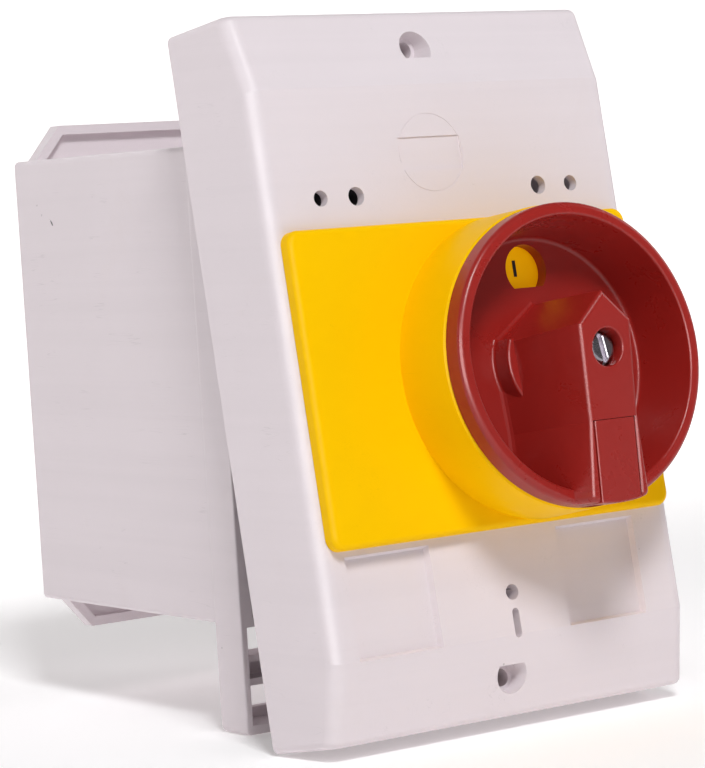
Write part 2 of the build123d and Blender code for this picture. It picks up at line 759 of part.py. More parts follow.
def make_contact_strips(side, name):
    """Three copper strips from the terminals to the fixed contacts, at one end of the poles."""
    with BuildPart() as strips:
        with BuildSketch(back_view.offset(CHANNEL_FLOOR)):
            for pole in POLES:
                with Locations((pole, side * (STRIP_IN + STRIP_OUT) / 2)):
                    Rectangle(STRIP_W, STRIP_OUT - STRIP_IN)
        extrude(amount=STRIP_T)
    save(strips, name)


def make_fixed_tips():
    """Six silver contact tips on the fixed strips."""
    with BuildPart() as fixed_tips:
        with BuildSketch(back_view.offset(CHANNEL_FLOOR + STRIP_T)):
            with GridLocations(POLE_PITCH, 2 * TIP_Z, 3, 2):
                Circle(TIP_R)
        extrude(amount=TIP_T)
    save(fixed_tips, "fixed_tips")


def make_terminal_clamps(side, name):
    """Three box clamps round the strip ends."""
    back = CHANNEL_FLOOR + STRIP_T
    with BuildPart() as clamps:
        with BuildSketch(back_view.offset(back)):
            for pole in POLES:
                with Locations((pole, side * CLAMP_Z)):
                    Rectangle(CLAMP_SIDE, CLAMP_SIDE)
        extrude(amount=CLAMP_H)
        with BuildSketch(Plane.XY.offset(side * (CLAMP_Z - CLAMP_SIDE))):
            for pole in POLES:
                with Locations((pole, -(back + WIRE_RISE))):
                    Rectangle(CLAMP_SIDE - 2 * CLAMP_WALL, CLAMP_MOUTH)
        extrude(amount=side * 2 * CLAMP_SIDE, mode=Mode.SUBTRACT)
        with BuildSketch(back_view.offset(back)):
            for pole in POLES:
                with Locations((pole, side * CLAMP_Z)):
                    Circle(TERM_SCREW_R)
        extrude(amount=CLAMP_H, mode=Mode.SUBTRACT)
    save(clamps, name)


def make_terminal_screws(side, name):
    """Three clamp screws with slotted heads inside their access holes."""
    start = CHANNEL_FLOOR + STRIP_T + TERM_SCREW_RISE
    with BuildPart() as screws:
        with BuildSketch(back_view.offset(start)):
            for pole in POLES:
                with Locations((pole, side * CLAMP_Z)):
                    Circle(TERM_SCREW_R)
        extrude(amount=TERM_HEAD_D - start)
        with BuildSketch(back_view.offset(TERM_HEAD_D)):
            for pole in POLES:
                with Locations((pole, side * CLAMP_Z)):
                    Circle(TERM_HEAD_R)
        extrude(amount=TERM_HEAD_T)
        with BuildSketch(back_view.offset(TERM_HEAD_D + TERM_HEAD_T - TERM_SLOT_DEPTH)):
            for pole in POLES:
                with Locations((pole, side * CLAMP_Z)):
                    Rectangle(2 * TERM_HEAD_R, TERM_SLOT_W)
        extrude(amount=TERM_SLOT_DEPTH, mode=Mode.SUBTRACT)
    save(screws, name)


def make_arc_plates():
    """Steel splitter plates beside each pair of contacts."""
    with BuildPart() as arc_plates:
        with BuildSketch(back_view.offset(CHANNEL_FLOOR + STRIP_T + ARC_PLATE_RISE)):
            for pole in POLES:
                for side in ENDS:
                    with Locations((pole, side * ARC_PLATE_Z)):
                        with GridLocations(0, ARC_PLATE_PITCH, 1, ARC_PLATE_COUNT):
                            Rectangle(ARC_PLATE_W, ARC_PLATE_T)
        extrude(amount=ARC_PLATE_D - CHANNEL_FLOOR - STRIP_T - ARC_PLATE_RISE)
    save(arc_plates, "arc_plates")


# ================================================================ contact carrier
moving_tip_d = CHANNEL_FLOOR + STRIP_T + TIP_T + TIP_GAP
bridge_d = moving_tip_d + TIP_T
spring_d = bridge_d + STRIP_T


def make_contact_carrier():
    """Plastic carrier: one bar and three cages round the contact bridges."""
    cage_back = bridge_d - CAGE_DROP
    with BuildPart() as contact_carrier:
        with BuildSketch(back_view.offset(CARRIER_BAR_D)):
            Rectangle(2 * POLE_PITCH + CAGE_W, CARRIER_H)
        extrude(amount=CARRIER_BAR_T)
        with BuildSketch(back_view.offset(cage_back)):
            for pole in POLES:
                with Locations((pole, 0)):
                    Rectangle(CAGE_W, CARRIER_H)
        extrude(amount=CARRIER_BAR_D - cage_back)
        with BuildSketch(back_view.offset(bridge_d - CAGE_PLAY)):
            for pole in POLES:
                with Locations((pole, 0)):
                    Rectangle(CAGE_W - 2 * CAGE_CHEEK, 2 * CARRIER_H)
        extrude(amount=CARRIER_BAR_D - bridge_d + CAGE_PLAY, mode=Mode.SUBTRACT)
        # two follower posts under the rotor's cam
        with BuildSketch(knob_plane.offset(CARRIER_BAR_D + CARRIER_BAR_T - FOLLOWER_SINK)):
            with Locations(*FOLLOWER_PLACES):
                Circle(FOLLOWER_R)
        extrude(amount=FOLLOWER_SINK + FOLLOWER_L)
    save(contact_carrier, "contact_carrier")


def make_contact_bridges():
    """Three copper bridges that close the two gaps of each pole."""
    with BuildPart() as contact_bridges:
        with BuildSketch(back_view.offset(bridge_d)):
            for pole in POLES:
                with Locations((pole, 0)):
                    RectangleRounded(STRIP_W, 2 * BRIDGE_HALF, BRIDGE_CORNER_R)
        extrude(amount=STRIP_T)
    save(contact_bridges, "contact_bridges")


def make_moving_tips():
    """Six silver tips on the bridges."""
    with BuildPart() as moving_tips:
        with BuildSketch(back_view.offset(moving_tip_d)):
            with GridLocations(POLE_PITCH, 2 * TIP_Z, 3, 2):
                Circle(TIP_R)
        extrude(amount=TIP_T)
    save(moving_tips, "moving_tips")


def make_spring(plane, length, radius, wire, turns):
    """Helical compression spring that starts at the plane and runs along its normal."""
    coil_length = length - 2 * wire
    with BuildPart() as spring:
        with BuildLine():
            coil = Helix(pitch=coil_length / turns, height=coil_length, radius=radius)
        with BuildSketch(Plane(origin=coil @ 0, z_dir=coil % 0)):
            Circle(wire)
        sweep(is_frenet=True)
    return plane.offset(wire).location * spring.part


def make_contact_springs():
    """Contact-pressure springs between the bridges and the carrier bar."""
    coils = []
    length = CARRIER_BAR_D - spring_d - 2 * CONTACT_SPRING_PLAY
    for pole in POLES:
        start = (pole, -(spring_d + CONTACT_SPRING_PLAY), 0)
        seat = Plane(origin=start, x_dir=(1, 0, 0), z_dir=(0, -1, 0))
        coils.append(make_spring(seat, length, CONTACT_SPRING_R, CONTACT_WIRE_R, CONTACT_SPRING_TURNS))
    with BuildPart() as contact_springs:
        add(coils)
    save(contact_springs, "contact_springs")


# ================================================================ rotor
def make_rotor():
    """Switch shaft with its cam flange, turning in the housing bore."""
    cam_back = CARRIER_BAR_D + CARRIER_BAR_T + FOLLOWER_L + CONTACT_TRAVEL + CAM_PLAY
    with BuildPart() as rotor:
        with BuildSketch(knob_plane.offset(cam_back)):
            Circle(CAM_R)
            with Locations((CAM_R, 0), (-CAM_R, 0)):
                Circle(CAM_NOTCH_R, mode=Mode.SUBTRACT)
        extrude(amount=CAM_T)
        with BuildSketch(knob_plane.offset(cam_back + CAM_T)):
            Circle(ROTOR_R)
        extrude(amount=KNOB_FRONT - KNOB_SINK - cam_back - CAM_T)
    save(rotor, "rotor")


def make_rotor_knob():
    """Knob on the switch's front with the key bar that the driver straddles."""
    knob_back = NOSE_FRONT + KNOB_GAP - KNOB_SINK
    with BuildPart() as rotor_knob:
        with BuildSketch(knob_plane.offset(knob_back)):
            Circle(KNOB_R)
        extrude(amount=KNOB_FRONT - knob_back)
        chamfer(rotor_knob.faces().sort_by(Axis.Y)[0].edges(), length=KNOB_CHAMFER)
        with BuildSketch(knob_plane.offset(KNOB_FRONT)):
            RectangleRounded(KEY_W, KEY_L, KEY_CORNER_R)
        extrude(amount=KEY_H)
        chamfer(rotor_knob.faces().sort_by(Axis.Y)[0].edges(), length=KEY_CHAMFER)
        with BuildSketch(knob_plane.offset(knob_back)):
            Circle(ROTOR_R)
        extrude(amount=KNOB_FRONT - KNOB_SINK - knob_back, mode=Mode.SUBTRACT)
    save(rotor_knob, "rotor_knob")


# ================================================================ cover
def cover_form(inset):
    """Wedge-ended cover form: side profile crossed with the drafted top view, inset all round."""
    half_h = COVER_H / 2 - inset
    back = -COVER_GAP if inset else 0.0
    mid = COVER_DEPTH - inset
    end = COVER_END_DEPTH - inset
    half_b = COVER_HALF_BACK - inset
    half_f = COVER_HALF_FRONT - inset
    with BuildPart(mode=Mode.PRIVATE) as form:
        with BuildSketch(cover_side):
            with BuildLine():
                Polyline(
                    (-half_h, back), (half_h, back), (half_h, end), (COVER_FLAT_HALF, mid),
                    (-COVER_FLAT_HALF, mid), (-half_h, end), close=True,
                )
            make_face()
        extrude(amount=2 * COVER_HALF_BACK, both=True)
        with BuildSketch(cover_top_view):
            with BuildLine():
                Polyline(
                    (-half_b, back), (half_b, back), (half_f, COVER_DEPTH), (-half_f, COVER_DEPTH),
                    close=True,
                )
            make_face()
        extrude(amount=COVER_H, both=True, mode=Mode.INTERSECT)
        fillet(form.edges().filter_by(is_long_front_edge), radius=COVER_EDGE_R - inset)
        if not inset:
            fillet(form.edges().filter_by(is_cover_end_edge), radius=COVER_END_R)
    return form.part


def cover_local(edge):
    """End points of an edge in the cover's own coordinates."""
    return [cover_face.to_local_coords(vertex.center()) for vertex in edge.vertices()]


def is_long_front_edge(edge):
    """True for the six edges that run down the left and right of the cover's front."""
    ends = cover_local(edge)
    beside = all(abs(end.X) > COVER_HALF_FRONT - COVER_EDGE_R for end in ends)
    in_front = all(end.Z > COVER_END_DEPTH - COVER_EDGE_R for end in ends)
    along = abs(ends[0].Y - ends[-1].Y) > COVER_EDGE_R
    return beside and in_front and along


def is_cover_end_edge(edge):
    """True for the front edge of the cover's top and bottom ends."""
    ends = cover_local(edge)
    at_end = all(abs(end.Y) > COVER_H / 2 - COVER_EDGE_R for end in ends)
    in_front = all(abs(end.Z - COVER_END_DEPTH) < LINE_W for end in ends)
    across = abs(ends[0].X - ends[-1].X) > COVER_EDGE_R
    return at_end and in_front and across


def make_cover_shell():
    """Front cover: hollow wedge-ended shell with screw wells, marker holes and label recesses."""
    screw_places = [(SCREW_X, SCREW_Z), (SCREW_X, -SCREW_Z)]
    with BuildPart() as cover_shell:
        add(cover_form(0.0))
        add(cover_form(COVER_WALL), mode=Mode.SUBTRACT)
        # screw pillars, from the back plane to the front wall
        with BuildSketch(cover_face.offset(COVER_BOSS_BACK)):
            with Locations(*screw_places):
                Circle(COVER_BOSS_R)
        extrude(amount=COVER_END_DEPTH - COVER_BOSS_BACK)
        # seal rib round the box opening
        with BuildSketch(cover_face.offset(SEAL_FRONT)):
            Rectangle(SEAL_W, SEAL_H)
            Rectangle(SEAL_W - 2 * SEAL_T, SEAL_H - 2 * SEAL_T, mode=Mode.SUBTRACT)
        extrude(amount=COVER_DEPTH - COVER_WALL / 2 - SEAL_FRONT)
        with BuildSketch(cover_face):
            with Locations(*screw_places):
                Circle(SCREW_HOLE_R)
            for x, radius in MARK_HOLES:
                with Locations((x, MARK_HOLE_Z), (-x, MARK_HOLE_Z)):
                    Circle(radius)
            with Locations((LAMP_X, LAMP_Z)):
                Circle(LAMP_R)
            with Locations((SLOT_X, SLOT_Z)):
                SlotOverall(SLOT_H, SLOT_W, rotation=90)
            with Locations(*plate_screw_places()):
                Circle(PLATE_SCREW_R + PLATE_SCREW_PLAY)
            with Locations((DIAL_X, DIAL_Z)):
                Circle(COVER_BORE_R)
        extrude(amount=2 * COVER_DEPTH, mode=Mode.SUBTRACT)
        with BuildSketch(cover_face.offset(SCREW_WELL_FLOOR)):
            with Locations(*screw_places):
                Circle(SCREW_WELL_R)
        extrude(amount=COVER_DEPTH - COVER_END_DEPTH, taper=SCREW_WELL_TAPER, mode=Mode.SUBTRACT)
        # seats for the brass ferrules in the pillars
        with BuildSketch(cover_face):
            with Locations(*screw_places):
                Circle(FERRULE_R)
        extrude(amount=COVER_BOSS_BACK + FERRULE_L, mode=Mode.SUBTRACT)
        with BuildSketch(cover_face.offset(COVER_DEPTH)):
            for x in LABEL_X:
                with Locations((x, LABEL_Z)):
                    Rectangle(LABEL_W, LABEL_H)
        extrude(amount=-LABEL_DEPTH, taper=LABEL_TAPER, mode=Mode.SUBTRACT)
        with BuildSketch(cover_face.offset(COVER_DEPTH - PANEL_DEPTH)):
            with Locations((PANEL_X, PANEL_Z)):
                Rectangle(PANEL_W, PANEL_H)
        extrude(amount=COVER_DEPTH, mode=Mode.SUBTRACT)
        # fine parting line round the panel's insert
        with BuildSketch(cover_face.offset(COVER_DEPTH - LINE_DEPTH)):
            with Locations((PANEL_X, PANEL_Z)):
                Circle(INSERT_LINE_R)
                Circle(INSERT_LINE_R - LINE_W, mode=Mode.SUBTRACT)
        extrude(amount=COVER_DEPTH, mode=Mode.SUBTRACT)
    save(cover_shell, "cover_shell")


def make_cover_ferrules():
    """Brass ferrules in the screw pillars of the cover."""
    with BuildPart() as cover_ferrules:
        with BuildSketch(cover_face.offset(COVER_BOSS_BACK)):
            with Locations((SCREW_X, SCREW_Z), (SCREW_X, -SCREW_Z)):
                Circle(FERRULE_R)
                Circle(SCREW_HOLE_R, mode=Mode.SUBTRACT)
        extrude(amount=FERRULE_L)
    save(cover_ferrules, "cover_ferrules")


def make_cover_seal():
    """Rubber seal on the cover's inner rib, round the box opening."""
    with BuildPart() as cover_seal:
        with BuildSketch(cover_face.offset(SEAL_BACK)):
            RectangleRounded(SEAL_W, SEAL_H, 1.0)
            RectangleRounded(SEAL_W - 2 * SEAL_T, SEAL_H - 2 * SEAL_T, 0.6, mode=Mode.SUBTRACT)
        extrude(amount=SEAL_FRONT - SEAL_BACK)
    save(cover_seal, "cover_seal")


def plate_screw_places():
    """Four fixing points of the yellow plate, near its corners."""
    low = PLATE_Z - PLATE_SCREW_Z
    high = PLATE_Z + PLATE_SCREW_Z
    return [(-PLATE_SCREW_X, low), (-PLATE_SCREW_X, high), (PLATE_SCREW_X, low), (PLATE_SCREW_X, high)]


def make_yellow_plate():
    """Yellow plate with its round collar; the bore holds the bearing bush."""
    with BuildPart() as yellow_plate:
        with BuildSketch(cover_face.offset(COVER_DEPTH)):
            with Locations((PLATE_X, PLATE_Z)):
                RectangleRounded(PLATE_W, PLATE_H, PLATE_CORNER_R)
        extrude(amount=PLATE_T)
        front = yellow_plate.faces().sort_by(dial_axis)[-1]
        fillet(front.edges(), radius=PLATE_EDGE_R)
        with BuildSketch(dial_section):
            with BuildLine():
                Polyline(
                    (0, COVER_DEPTH), (COLLAR_R, COVER_DEPTH), (COLLAR_R, COVER_DEPTH + PLATE_T),
                    (COLLAR_TOP_R, COLLAR_TOP - COLLAR_EDGE_R), (COLLAR_TOP_R - COLLAR_EDGE_R, COLLAR_TOP),
                    (0, COLLAR_TOP), close=True,
                )
            make_face()
        revolve(axis=dial_axis)
        with BuildSketch(dial.offset(COVER_DEPTH + PLATE_T)):
            Circle(COLLAR_BORE_R)
        extrude(amount=COLLAR_TOP, mode=Mode.SUBTRACT)
        with BuildSketch(dial.offset(COVER_DEPTH)):
            Circle(BUSH_R)
        extrude(amount=PLATE_T, mode=Mode.SUBTRACT)
        with BuildSketch(cover_face.offset(COVER_DEPTH)):
            with Locations(*plate_screw_places()):
                Circle(PLATE_SCREW_R)
        extrude(amount=PLATE_SCREW_BITE, mode=Mode.SUBTRACT)
    save(yellow_plate, "yellow_plate")


def make_plate_screws():
    """Self-tapping screws that hold the yellow plate from inside the cover."""
    wall_back = COVER_DEPTH - COVER_WALL
    with BuildPart() as plate_screws:
        with BuildSketch(cover_face.offset(wall_back)):
            with Locations(*plate_screw_places()):
                Circle(PLATE_SCREW_R)
        extrude(amount=COVER_WALL + PLATE_SCREW_BITE)
        with BuildSketch(cover_face.offset(wall_back - PLATE_SCREW_HEAD_T)):
            with Locations(*plate_screw_places()):
                Circle(PLATE_SCREW_HEAD_R)
        extrude(amount=PLATE_SCREW_HEAD_T)
    save(plate_screws, "plate_screws")


def make_shaft_bush():
    """Flanged bearing bush with a groove for the shaft seal."""
    face = COVER_DEPTH + PLATE_T
    with BuildPart() as shaft_bush:
        with BuildSketch(dial.offset(BUSH_BACK)):
            Circle(BUSH_R)
        extrude(amount=face - BUSH_BACK)
        with BuildSketch(dial.offset(face)):
            Circle(BUSH_FLANGE_R)
        extrude(amount=BUSH_FLANGE_T)
        with BuildSketch(dial.offset(BUSH_BACK)):
            Circle(STEM_R + RUN_FIT)
        extrude(amount=face, mode=Mode.SUBTRACT)
        with BuildSketch(dial.offset(ORING_D - ORING_WIRE_R - ORING_PLAY)):
            Circle(ORING_R + ORING_WIRE_R + ORING_PLAY)
        extrude(amount=2 * (ORING_WIRE_R + ORING_PLAY), mode=Mode.SUBTRACT)
    save(shaft_bush, "shaft_bush")


def make_shaft_seal():
    """O-ring in the bush groove."""
    with BuildPart() as shaft_seal:
        with BuildSketch(dial_section):
            with Locations((ORING_R, ORING_D)):
                Circle(ORING_WIRE_R)
        revolve(axis=dial_axis)
    save(shaft_seal, "shaft_seal")


def make_position_disc():
    """Yellow disc behind the handle's window."""
    with BuildPart() as position_disc:
        with BuildSketch(dial.offset(COVER_DEPTH + PLATE_T)):
            Circle(DISC_R)
            Circle(DISC_BORE_R, mode=Mode.SUBTRACT)
        extrude(amount=DISC_T)
    save(position_disc, "position_disc")


def make_position_marks():
    """Raised black figures: a one at the top and a nought at the left."""
    with BuildPart() as position_marks:
        with BuildSketch(dial.offset(COVER_DEPTH + PLATE_T + DISC_T)):
            with Locations((0, MARK_R)):
                Rectangle(ONE_W, ONE_H)
            with Locations((-MARK_R, 0)):
                Ellipse(NOUGHT_W / 2, NOUGHT_H / 2)
                Ellipse(NOUGHT_W / 2 - NOUGHT_LINE, NOUGHT_H / 2 - NOUGHT_LINE, mode=Mode.SUBTRACT)
        extrude(amount=MARK_T)
    save(position_marks, "position_marks")


# ================================================================ handle
def cut_grip_face():
    """Private wedge that trims the grip and the slide to their common sloping face."""
    rise = TOOL * math.tan(math.radians(GRIP_SLOPE))
    with BuildPart(mode=Mode.PRIVATE) as wedge:
        with BuildSketch(dial_side):
            with BuildLine():
                Polyline(
                    (-TOOL, GRIP_FACE - rise), (TOOL, GRIP_FACE + rise), (TOOL, GRIP_FACE + TOOL),
                    (-TOOL, GRIP_FACE + TOOL), close=True,
                )
            make_face()
        extrude(amount=TOOL, both=True)
    return wedge.part


def face_depth(height):
    """Depth of the grip's sloping face at a height above the axis."""
    return GRIP_FACE + height * math.tan(math.radians(GRIP_SLOPE))


def grip_outline(depth, apex, shoulder, spread=0.0):
    """Outline of the grip at a depth: pointed at the top, waisted at the joint, flared at the tip."""
    half = GRIP_HALF + GRIP_DRAFT * (face_depth(0) - depth) + spread
    joint_half = GRIP_JOINT_HALF + GRIP_DRAFT * (face_depth(-GRIP_JOINT) - depth) + spread
    tip_half = GRIP_TIP_HALF + GRIP_DRAFT * (face_depth(-RING_R) - depth) + spread
    with BuildSketch(mode=Mode.PRIVATE) as outline:
        with BuildLine():
            Polyline(
                (-half, shoulder), (0, apex), (half, shoulder), (joint_half, -GRIP_JOINT),
                (tip_half, -RING_R - RING_EDGE_R), (-tip_half, -RING_R - RING_EDGE_R),
                (-joint_half, -GRIP_JOINT), close=True,
            )
        make_face()
    return outline.sketch


def make_slide_pocket():
    """Private solid of the slide's pocket: tongue slot, rib groove and head channel."""
    length = TOOL - GRIP_JOINT
    middle = -(TOOL + GRIP_JOINT) / 2
    with BuildPart(mode=Mode.PRIVATE) as pocket:
        with BuildSketch(dial.offset(SLOT_BACK)):
            with Locations((0, middle)):
                Rectangle(2 * SLOT_HALF, length)
        extrude(amount=CHANNEL_BACK - SLOT_BACK)
        with BuildSketch(dial.offset(CHANNEL_BACK)):
            with Locations((0, middle)):
                Rectangle(2 * GROOVE_HALF, length)
        extrude(amount=GROOVE_FRONT - CHANNEL_BACK)
        with BuildSketch(dial.offset(CHANNEL_BACK)):
            with Locations((0, middle)):
                Rectangle(2 * CHANNEL_HALF, length)
        extrude(amount=TOOL)
    return pocket.part


def make_grip():
    """Private solid of the grip, kept inside the cup and flush with the ring at its tip."""
    top = GRIP_FACE + RING_EDGE_R + RING_INNER_EDGE_R
    with BuildPart(mode=Mode.PRIVATE) as grip:
        with BuildSketch(dial.offset(CUP_FLOOR)):
            add(grip_outline(CUP_FLOOR, GRIP_BASE_APEX, GRIP_BASE_SHOULDER))
        with BuildSketch(dial.offset(top)):
            add(grip_outline(top, GRIP_APEX, GRIP_SHOULDER))
        loft(ruled=True)
        # bevelled root round the grip's foot
        for rise, spread in ROOT_STEPS:
            with BuildSketch(dial.offset(CUP_FLOOR)):
                shoulder = GRIP_BASE_SHOULDER + spread / 2
                add(grip_outline(CUP_FLOOR, GRIP_BASE_APEX + spread, shoulder, spread))
            with BuildSketch(dial.offset(CUP_FLOOR + rise)):
                add(grip_outline(CUP_FLOOR + rise, GRIP_BASE_APEX, GRIP_BASE_SHOULDER))
            loft(ruled=True)
        with BuildSketch(dial_section):
            with BuildLine():
                Polyline(
                    (0, CUP_FLOOR - CUP_CORNER_R), (CUP_FLOOR_R, CUP_FLOOR - CUP_CORNER_R),
                    (CUP_TOP_R, RING_BACK), (RING_R, RING_BACK), (RING_R, TOOL), (0, TOOL), close=True,
                )
            make_face()
        revolve(axis=dial_axis, mode=Mode.INTERSECT)
        add(cut_grip_face(), mode=Mode.SUBTRACT)
        fillet(grip.edges().filter_by(is_tip_corner), radius=GRIP_TIP_R)
        face = grip.faces().sort_by(dial_axis)[-1]
        fillet(face.edges(), radius=GRIP_EDGE_R)
        add(make_slide_pocket(), mode=Mode.SUBTRACT)
        chamfer(grip.edges().filter_by(is_rail_edge), length=GRIP_RAIL_CHAMFER)
    return grip.part


def is_rail_edge(edge):
    """True for the front edges of the two rails beside the slide."""
    middle = dial.to_local_coords(edge @ 0.5)
    beside = abs(abs(middle.X) - CHANNEL_HALF) < MARK_T
    return beside and middle.Y < -GRIP_JOINT - MARK_T and middle.Z > GROOVE_FRONT + MARK_T


def is_tip_corner(edge):
    """True for the two upright edges at the grip's tip."""
    start, end = dial.to_local_coords(edge @ 0), dial.to_local_coords(edge @ 1)
    upright = abs(start.Z - end.Z) > GRIP_TIP_HALF
    return upright and max(start.Y, end.Y) < -RING_R + GRIP_TIP_HALF


def make_hub():
    """Private solid of the low round hub and the taller bulge on its right side."""
    with BuildPart(mode=Mode.PRIVATE) as hub:
        with BuildSketch(dial.offset(CUP_FLOOR)):
            Circle(HUB_R)
            with Locations((0, HUB_HIGH - TOOL / 2)):
                Rectangle(TOOL, TOOL, mode=Mode.INTERSECT)
        extrude(amount=HUB_TOP - CUP_FLOOR)
        fillet(hub.faces().sort_by(dial_axis)[-1].edges(), radius=HUB_EDGE_R)
    with BuildPart(mode=Mode.PRIVATE) as bulge:
        with BuildSketch(dial.offset(CUP_FLOOR)):
            Circle(BULGE_R)
            with Locations(((BULGE_LEFT + TOOL) / 2, (HUB_HIGH - GRIP_JOINT) / 2)):
                Rectangle(TOOL - BULGE_LEFT, HUB_HIGH + GRIP_JOINT, mode=Mode.INTERSECT)
        extrude(amount=BULGE_TOP - CUP_FLOOR)
        fillet(bulge.faces().sort_by(dial_axis)[-1].edges(), radius=BULGE_EDGE_R)
    return hub.part + bulge.part


def make_handle():
    """Red dished ring with its hub, grip and stem in one moulding."""
    underside = CUP_FLOOR - CUP_FLOOR_T
    with BuildPart() as handle:
        with BuildSketch(dial_section) as section:
            with BuildLine():
                Polyline(
                    (0, CUP_FLOOR), (CUP_FLOOR_R, CUP_FLOOR), (CUP_TOP_R, RING_FRONT),
                    (RING_R, RING_FRONT), (RING_R, RING_BACK), (CUP_NECK_R, RING_BACK),
                    (CUP_BACK_R, underside), (STEM_R, underside), (STEM_R, STEM_BACK),
                    (0, STEM_BACK), close=True,
                )
            make_face()
            fillet(section.vertices().sort_by_distance((CUP_FLOOR_R, CUP_FLOOR))[0], radius=CUP_CORNER_R)
            fillet(section.vertices().sort_by_distance((CUP_TOP_R, RING_FRONT))[0], radius=RING_INNER_EDGE_R)
            fillet(section.vertices().sort_by_distance((RING_R, RING_FRONT))[0], radius=RING_EDGE_R)
        revolve(axis=dial_axis)
        add(make_hub())
        fillet(handle.edges().filter_by(is_root_edge), radius=HUB_ROOT_R)
        add(make_slide_pocket(), mode=Mode.SUBTRACT)
        add(make_grip())
        # screw well and shaft socket
        with BuildSketch(dial.offset(HEAD_TOP - HEAD_T - WASHER_T)):
            Circle(HEAD_WELL_R)
        extrude(amount=TOOL, mode=Mode.SUBTRACT)
        fillet(handle.edges().filter_by(is_well_rim), radius=WELL_EDGE_R)
        with BuildSketch(dial.offset(STEM_BACK)):
            Rectangle(SHAFT_SIDE + SOCKET_PLAY, SHAFT_SIDE + SOCKET_PLAY)
        extrude(amount=SHAFT_FRONT + SOCKET_PLAY - STEM_BACK, mode=Mode.SUBTRACT)
        with BuildSketch(dial.offset(SHAFT_FRONT)):
            Circle(HANDLE_SCREW_R + SCREW_PLAY)
        extrude(amount=TOOL, mode=Mode.SUBTRACT)
        # groove for the retaining clip
        with BuildSketch(dial.offset(CLIP_D)):
            Circle(CLIP_R)
            Circle(CLIP_BORE_R, mode=Mode.SUBTRACT)
        extrude(amount=CLIP_T, mode=Mode.SUBTRACT)
        # window over the position marks
        with BuildSketch(dial.offset(underside)):
            with Locations((0, WINDOW_C)):
                Circle(WINDOW_R)
            with Locations((0, WINDOW_FLAT - WINDOW_R)):
                Rectangle(4 * WINDOW_R, 2 * WINDOW_R, mode=Mode.SUBTRACT)
        extrude(amount=CUP_FLOOR_T, mode=Mode.SUBTRACT)
        # shallow curved lines in the cup's floor
        with BuildSketch(dial.offset(CUP_FLOOR - FLOOR_LINE_DEPTH)):
            for radius, start, sweep_angle in FLOOR_LINES:
                SlotArc(CenterArc((0, 0), radius, start, sweep_angle, mode=Mode.PRIVATE), FLOOR_LINE_W)
        extrude(amount=CUP_FLOOR_T, mode=Mode.SUBTRACT)
        # bore for the slide's spring
        with BuildSketch(slide_spring_plane()):
            Circle(SPRING_BORE_R)
        extrude(amount=SPRING_L, mode=Mode.SUBTRACT)
    save(handle, "handle")


def is_root_edge(edge):
    """True for the edges where the hub stands on the cup's floor."""
    middle = dial.to_local_coords(edge @ 0.5)
    low = abs(middle.Z - CUP_FLOOR) < MARK_T
    return low and math.hypot(middle.X, middle.Y) < CUP_FLOOR_R - 2 * CUP_CORNER_R


def is_well_rim(edge):
    """True for the edge where the screw well opens in the grip's face."""
    middle = dial.to_local_coords(edge @ 0.5)
    return middle.Z > HEAD_TOP and abs(math.hypot(middle.X, middle.Y) - HEAD_WELL_R) < MARK_T


def slide_spring_plane():
    """Plane at the closed end of the slide's channel, looking up the grip."""
    seat = dial.from_local_coords(Vector(0, -GRIP_JOINT, SPRING_D))
    return Plane(origin=seat, x_dir=(1, 0, 0), z_dir=dial.y_dir)


def make_lock_slide():
    """Padlock slide in the lower half of the grip, pulled out along the grip."""
    beyond = RING_R + RING_EDGE_R
    with BuildPart() as lock_slide:
        with BuildSketch(dial.offset(SLIDE_HEAD_BACK)):
            with Locations((0, -(SLIDE_TOP + beyond) / 2)):
                Rectangle(2 * SLIDE_HALF, beyond - SLIDE_TOP)
        extrude(amount=TOOL - SLIDE_HEAD_BACK)
        with BuildSketch(dial.offset(SLIDE_HEAD_BACK)):
            with Locations((0, -(SLIDE_TOP + beyond) / 2)):
                Rectangle(2 * SLIDE_RIB_HALF, beyond - SLIDE_TOP)
        extrude(amount=SLIDE_RIB_FRONT - SLIDE_HEAD_BACK)
        with BuildSketch(dial.offset(SLIDE_HEAD_BACK)):
            Circle(RING_R)
        extrude(amount=TOOL, mode=Mode.INTERSECT)
        add(cut_grip_face(), mode=Mode.SUBTRACT)
        front = lock_slide.faces().sort_by(dial_axis)[-1]
        fillet(front.edges().filter_by(is_below_joint), radius=SLIDE_EDGE_R)
        with BuildSketch(dial.offset(SLIDE_TONGUE_BACK)):
            with Locations((0, -(SLIDE_TOP + SLIDE_TONGUE_TIP) / 2)):
                Rectangle(2 * SLIDE_TONGUE_HALF, SLIDE_TONGUE_TIP - SLIDE_TOP)
        extrude(amount=SLIDE_HEAD_BACK - SLIDE_TONGUE_BACK)
        with BuildSketch(dial_side):
            with Locations((-PADLOCK_Z, PADLOCK_D)):
                Circle(PADLOCK_R)
        extrude(amount=TOOL, both=True, mode=Mode.SUBTRACT)
    save(lock_slide, "lock_slide")


def is_below_joint(edge):
    """True for the edges that don't lie along the slide's upper end."""
    return dial.to_local_coords(edge @ 0.5).Y < -SLIDE_TOP - MARK_T


def make_slide_spring():
    """Light spring in the grip that bears on the slide's end so it cannot rattle."""
    coil = make_spring(slide_spring_plane(), SPRING_L - MARK_T, SPRING_R, SPRING_WIRE_R, SPRING_TURNS)
    with BuildPart() as slide_spring:
        add(coil)
    save(slide_spring, "slide_spring")


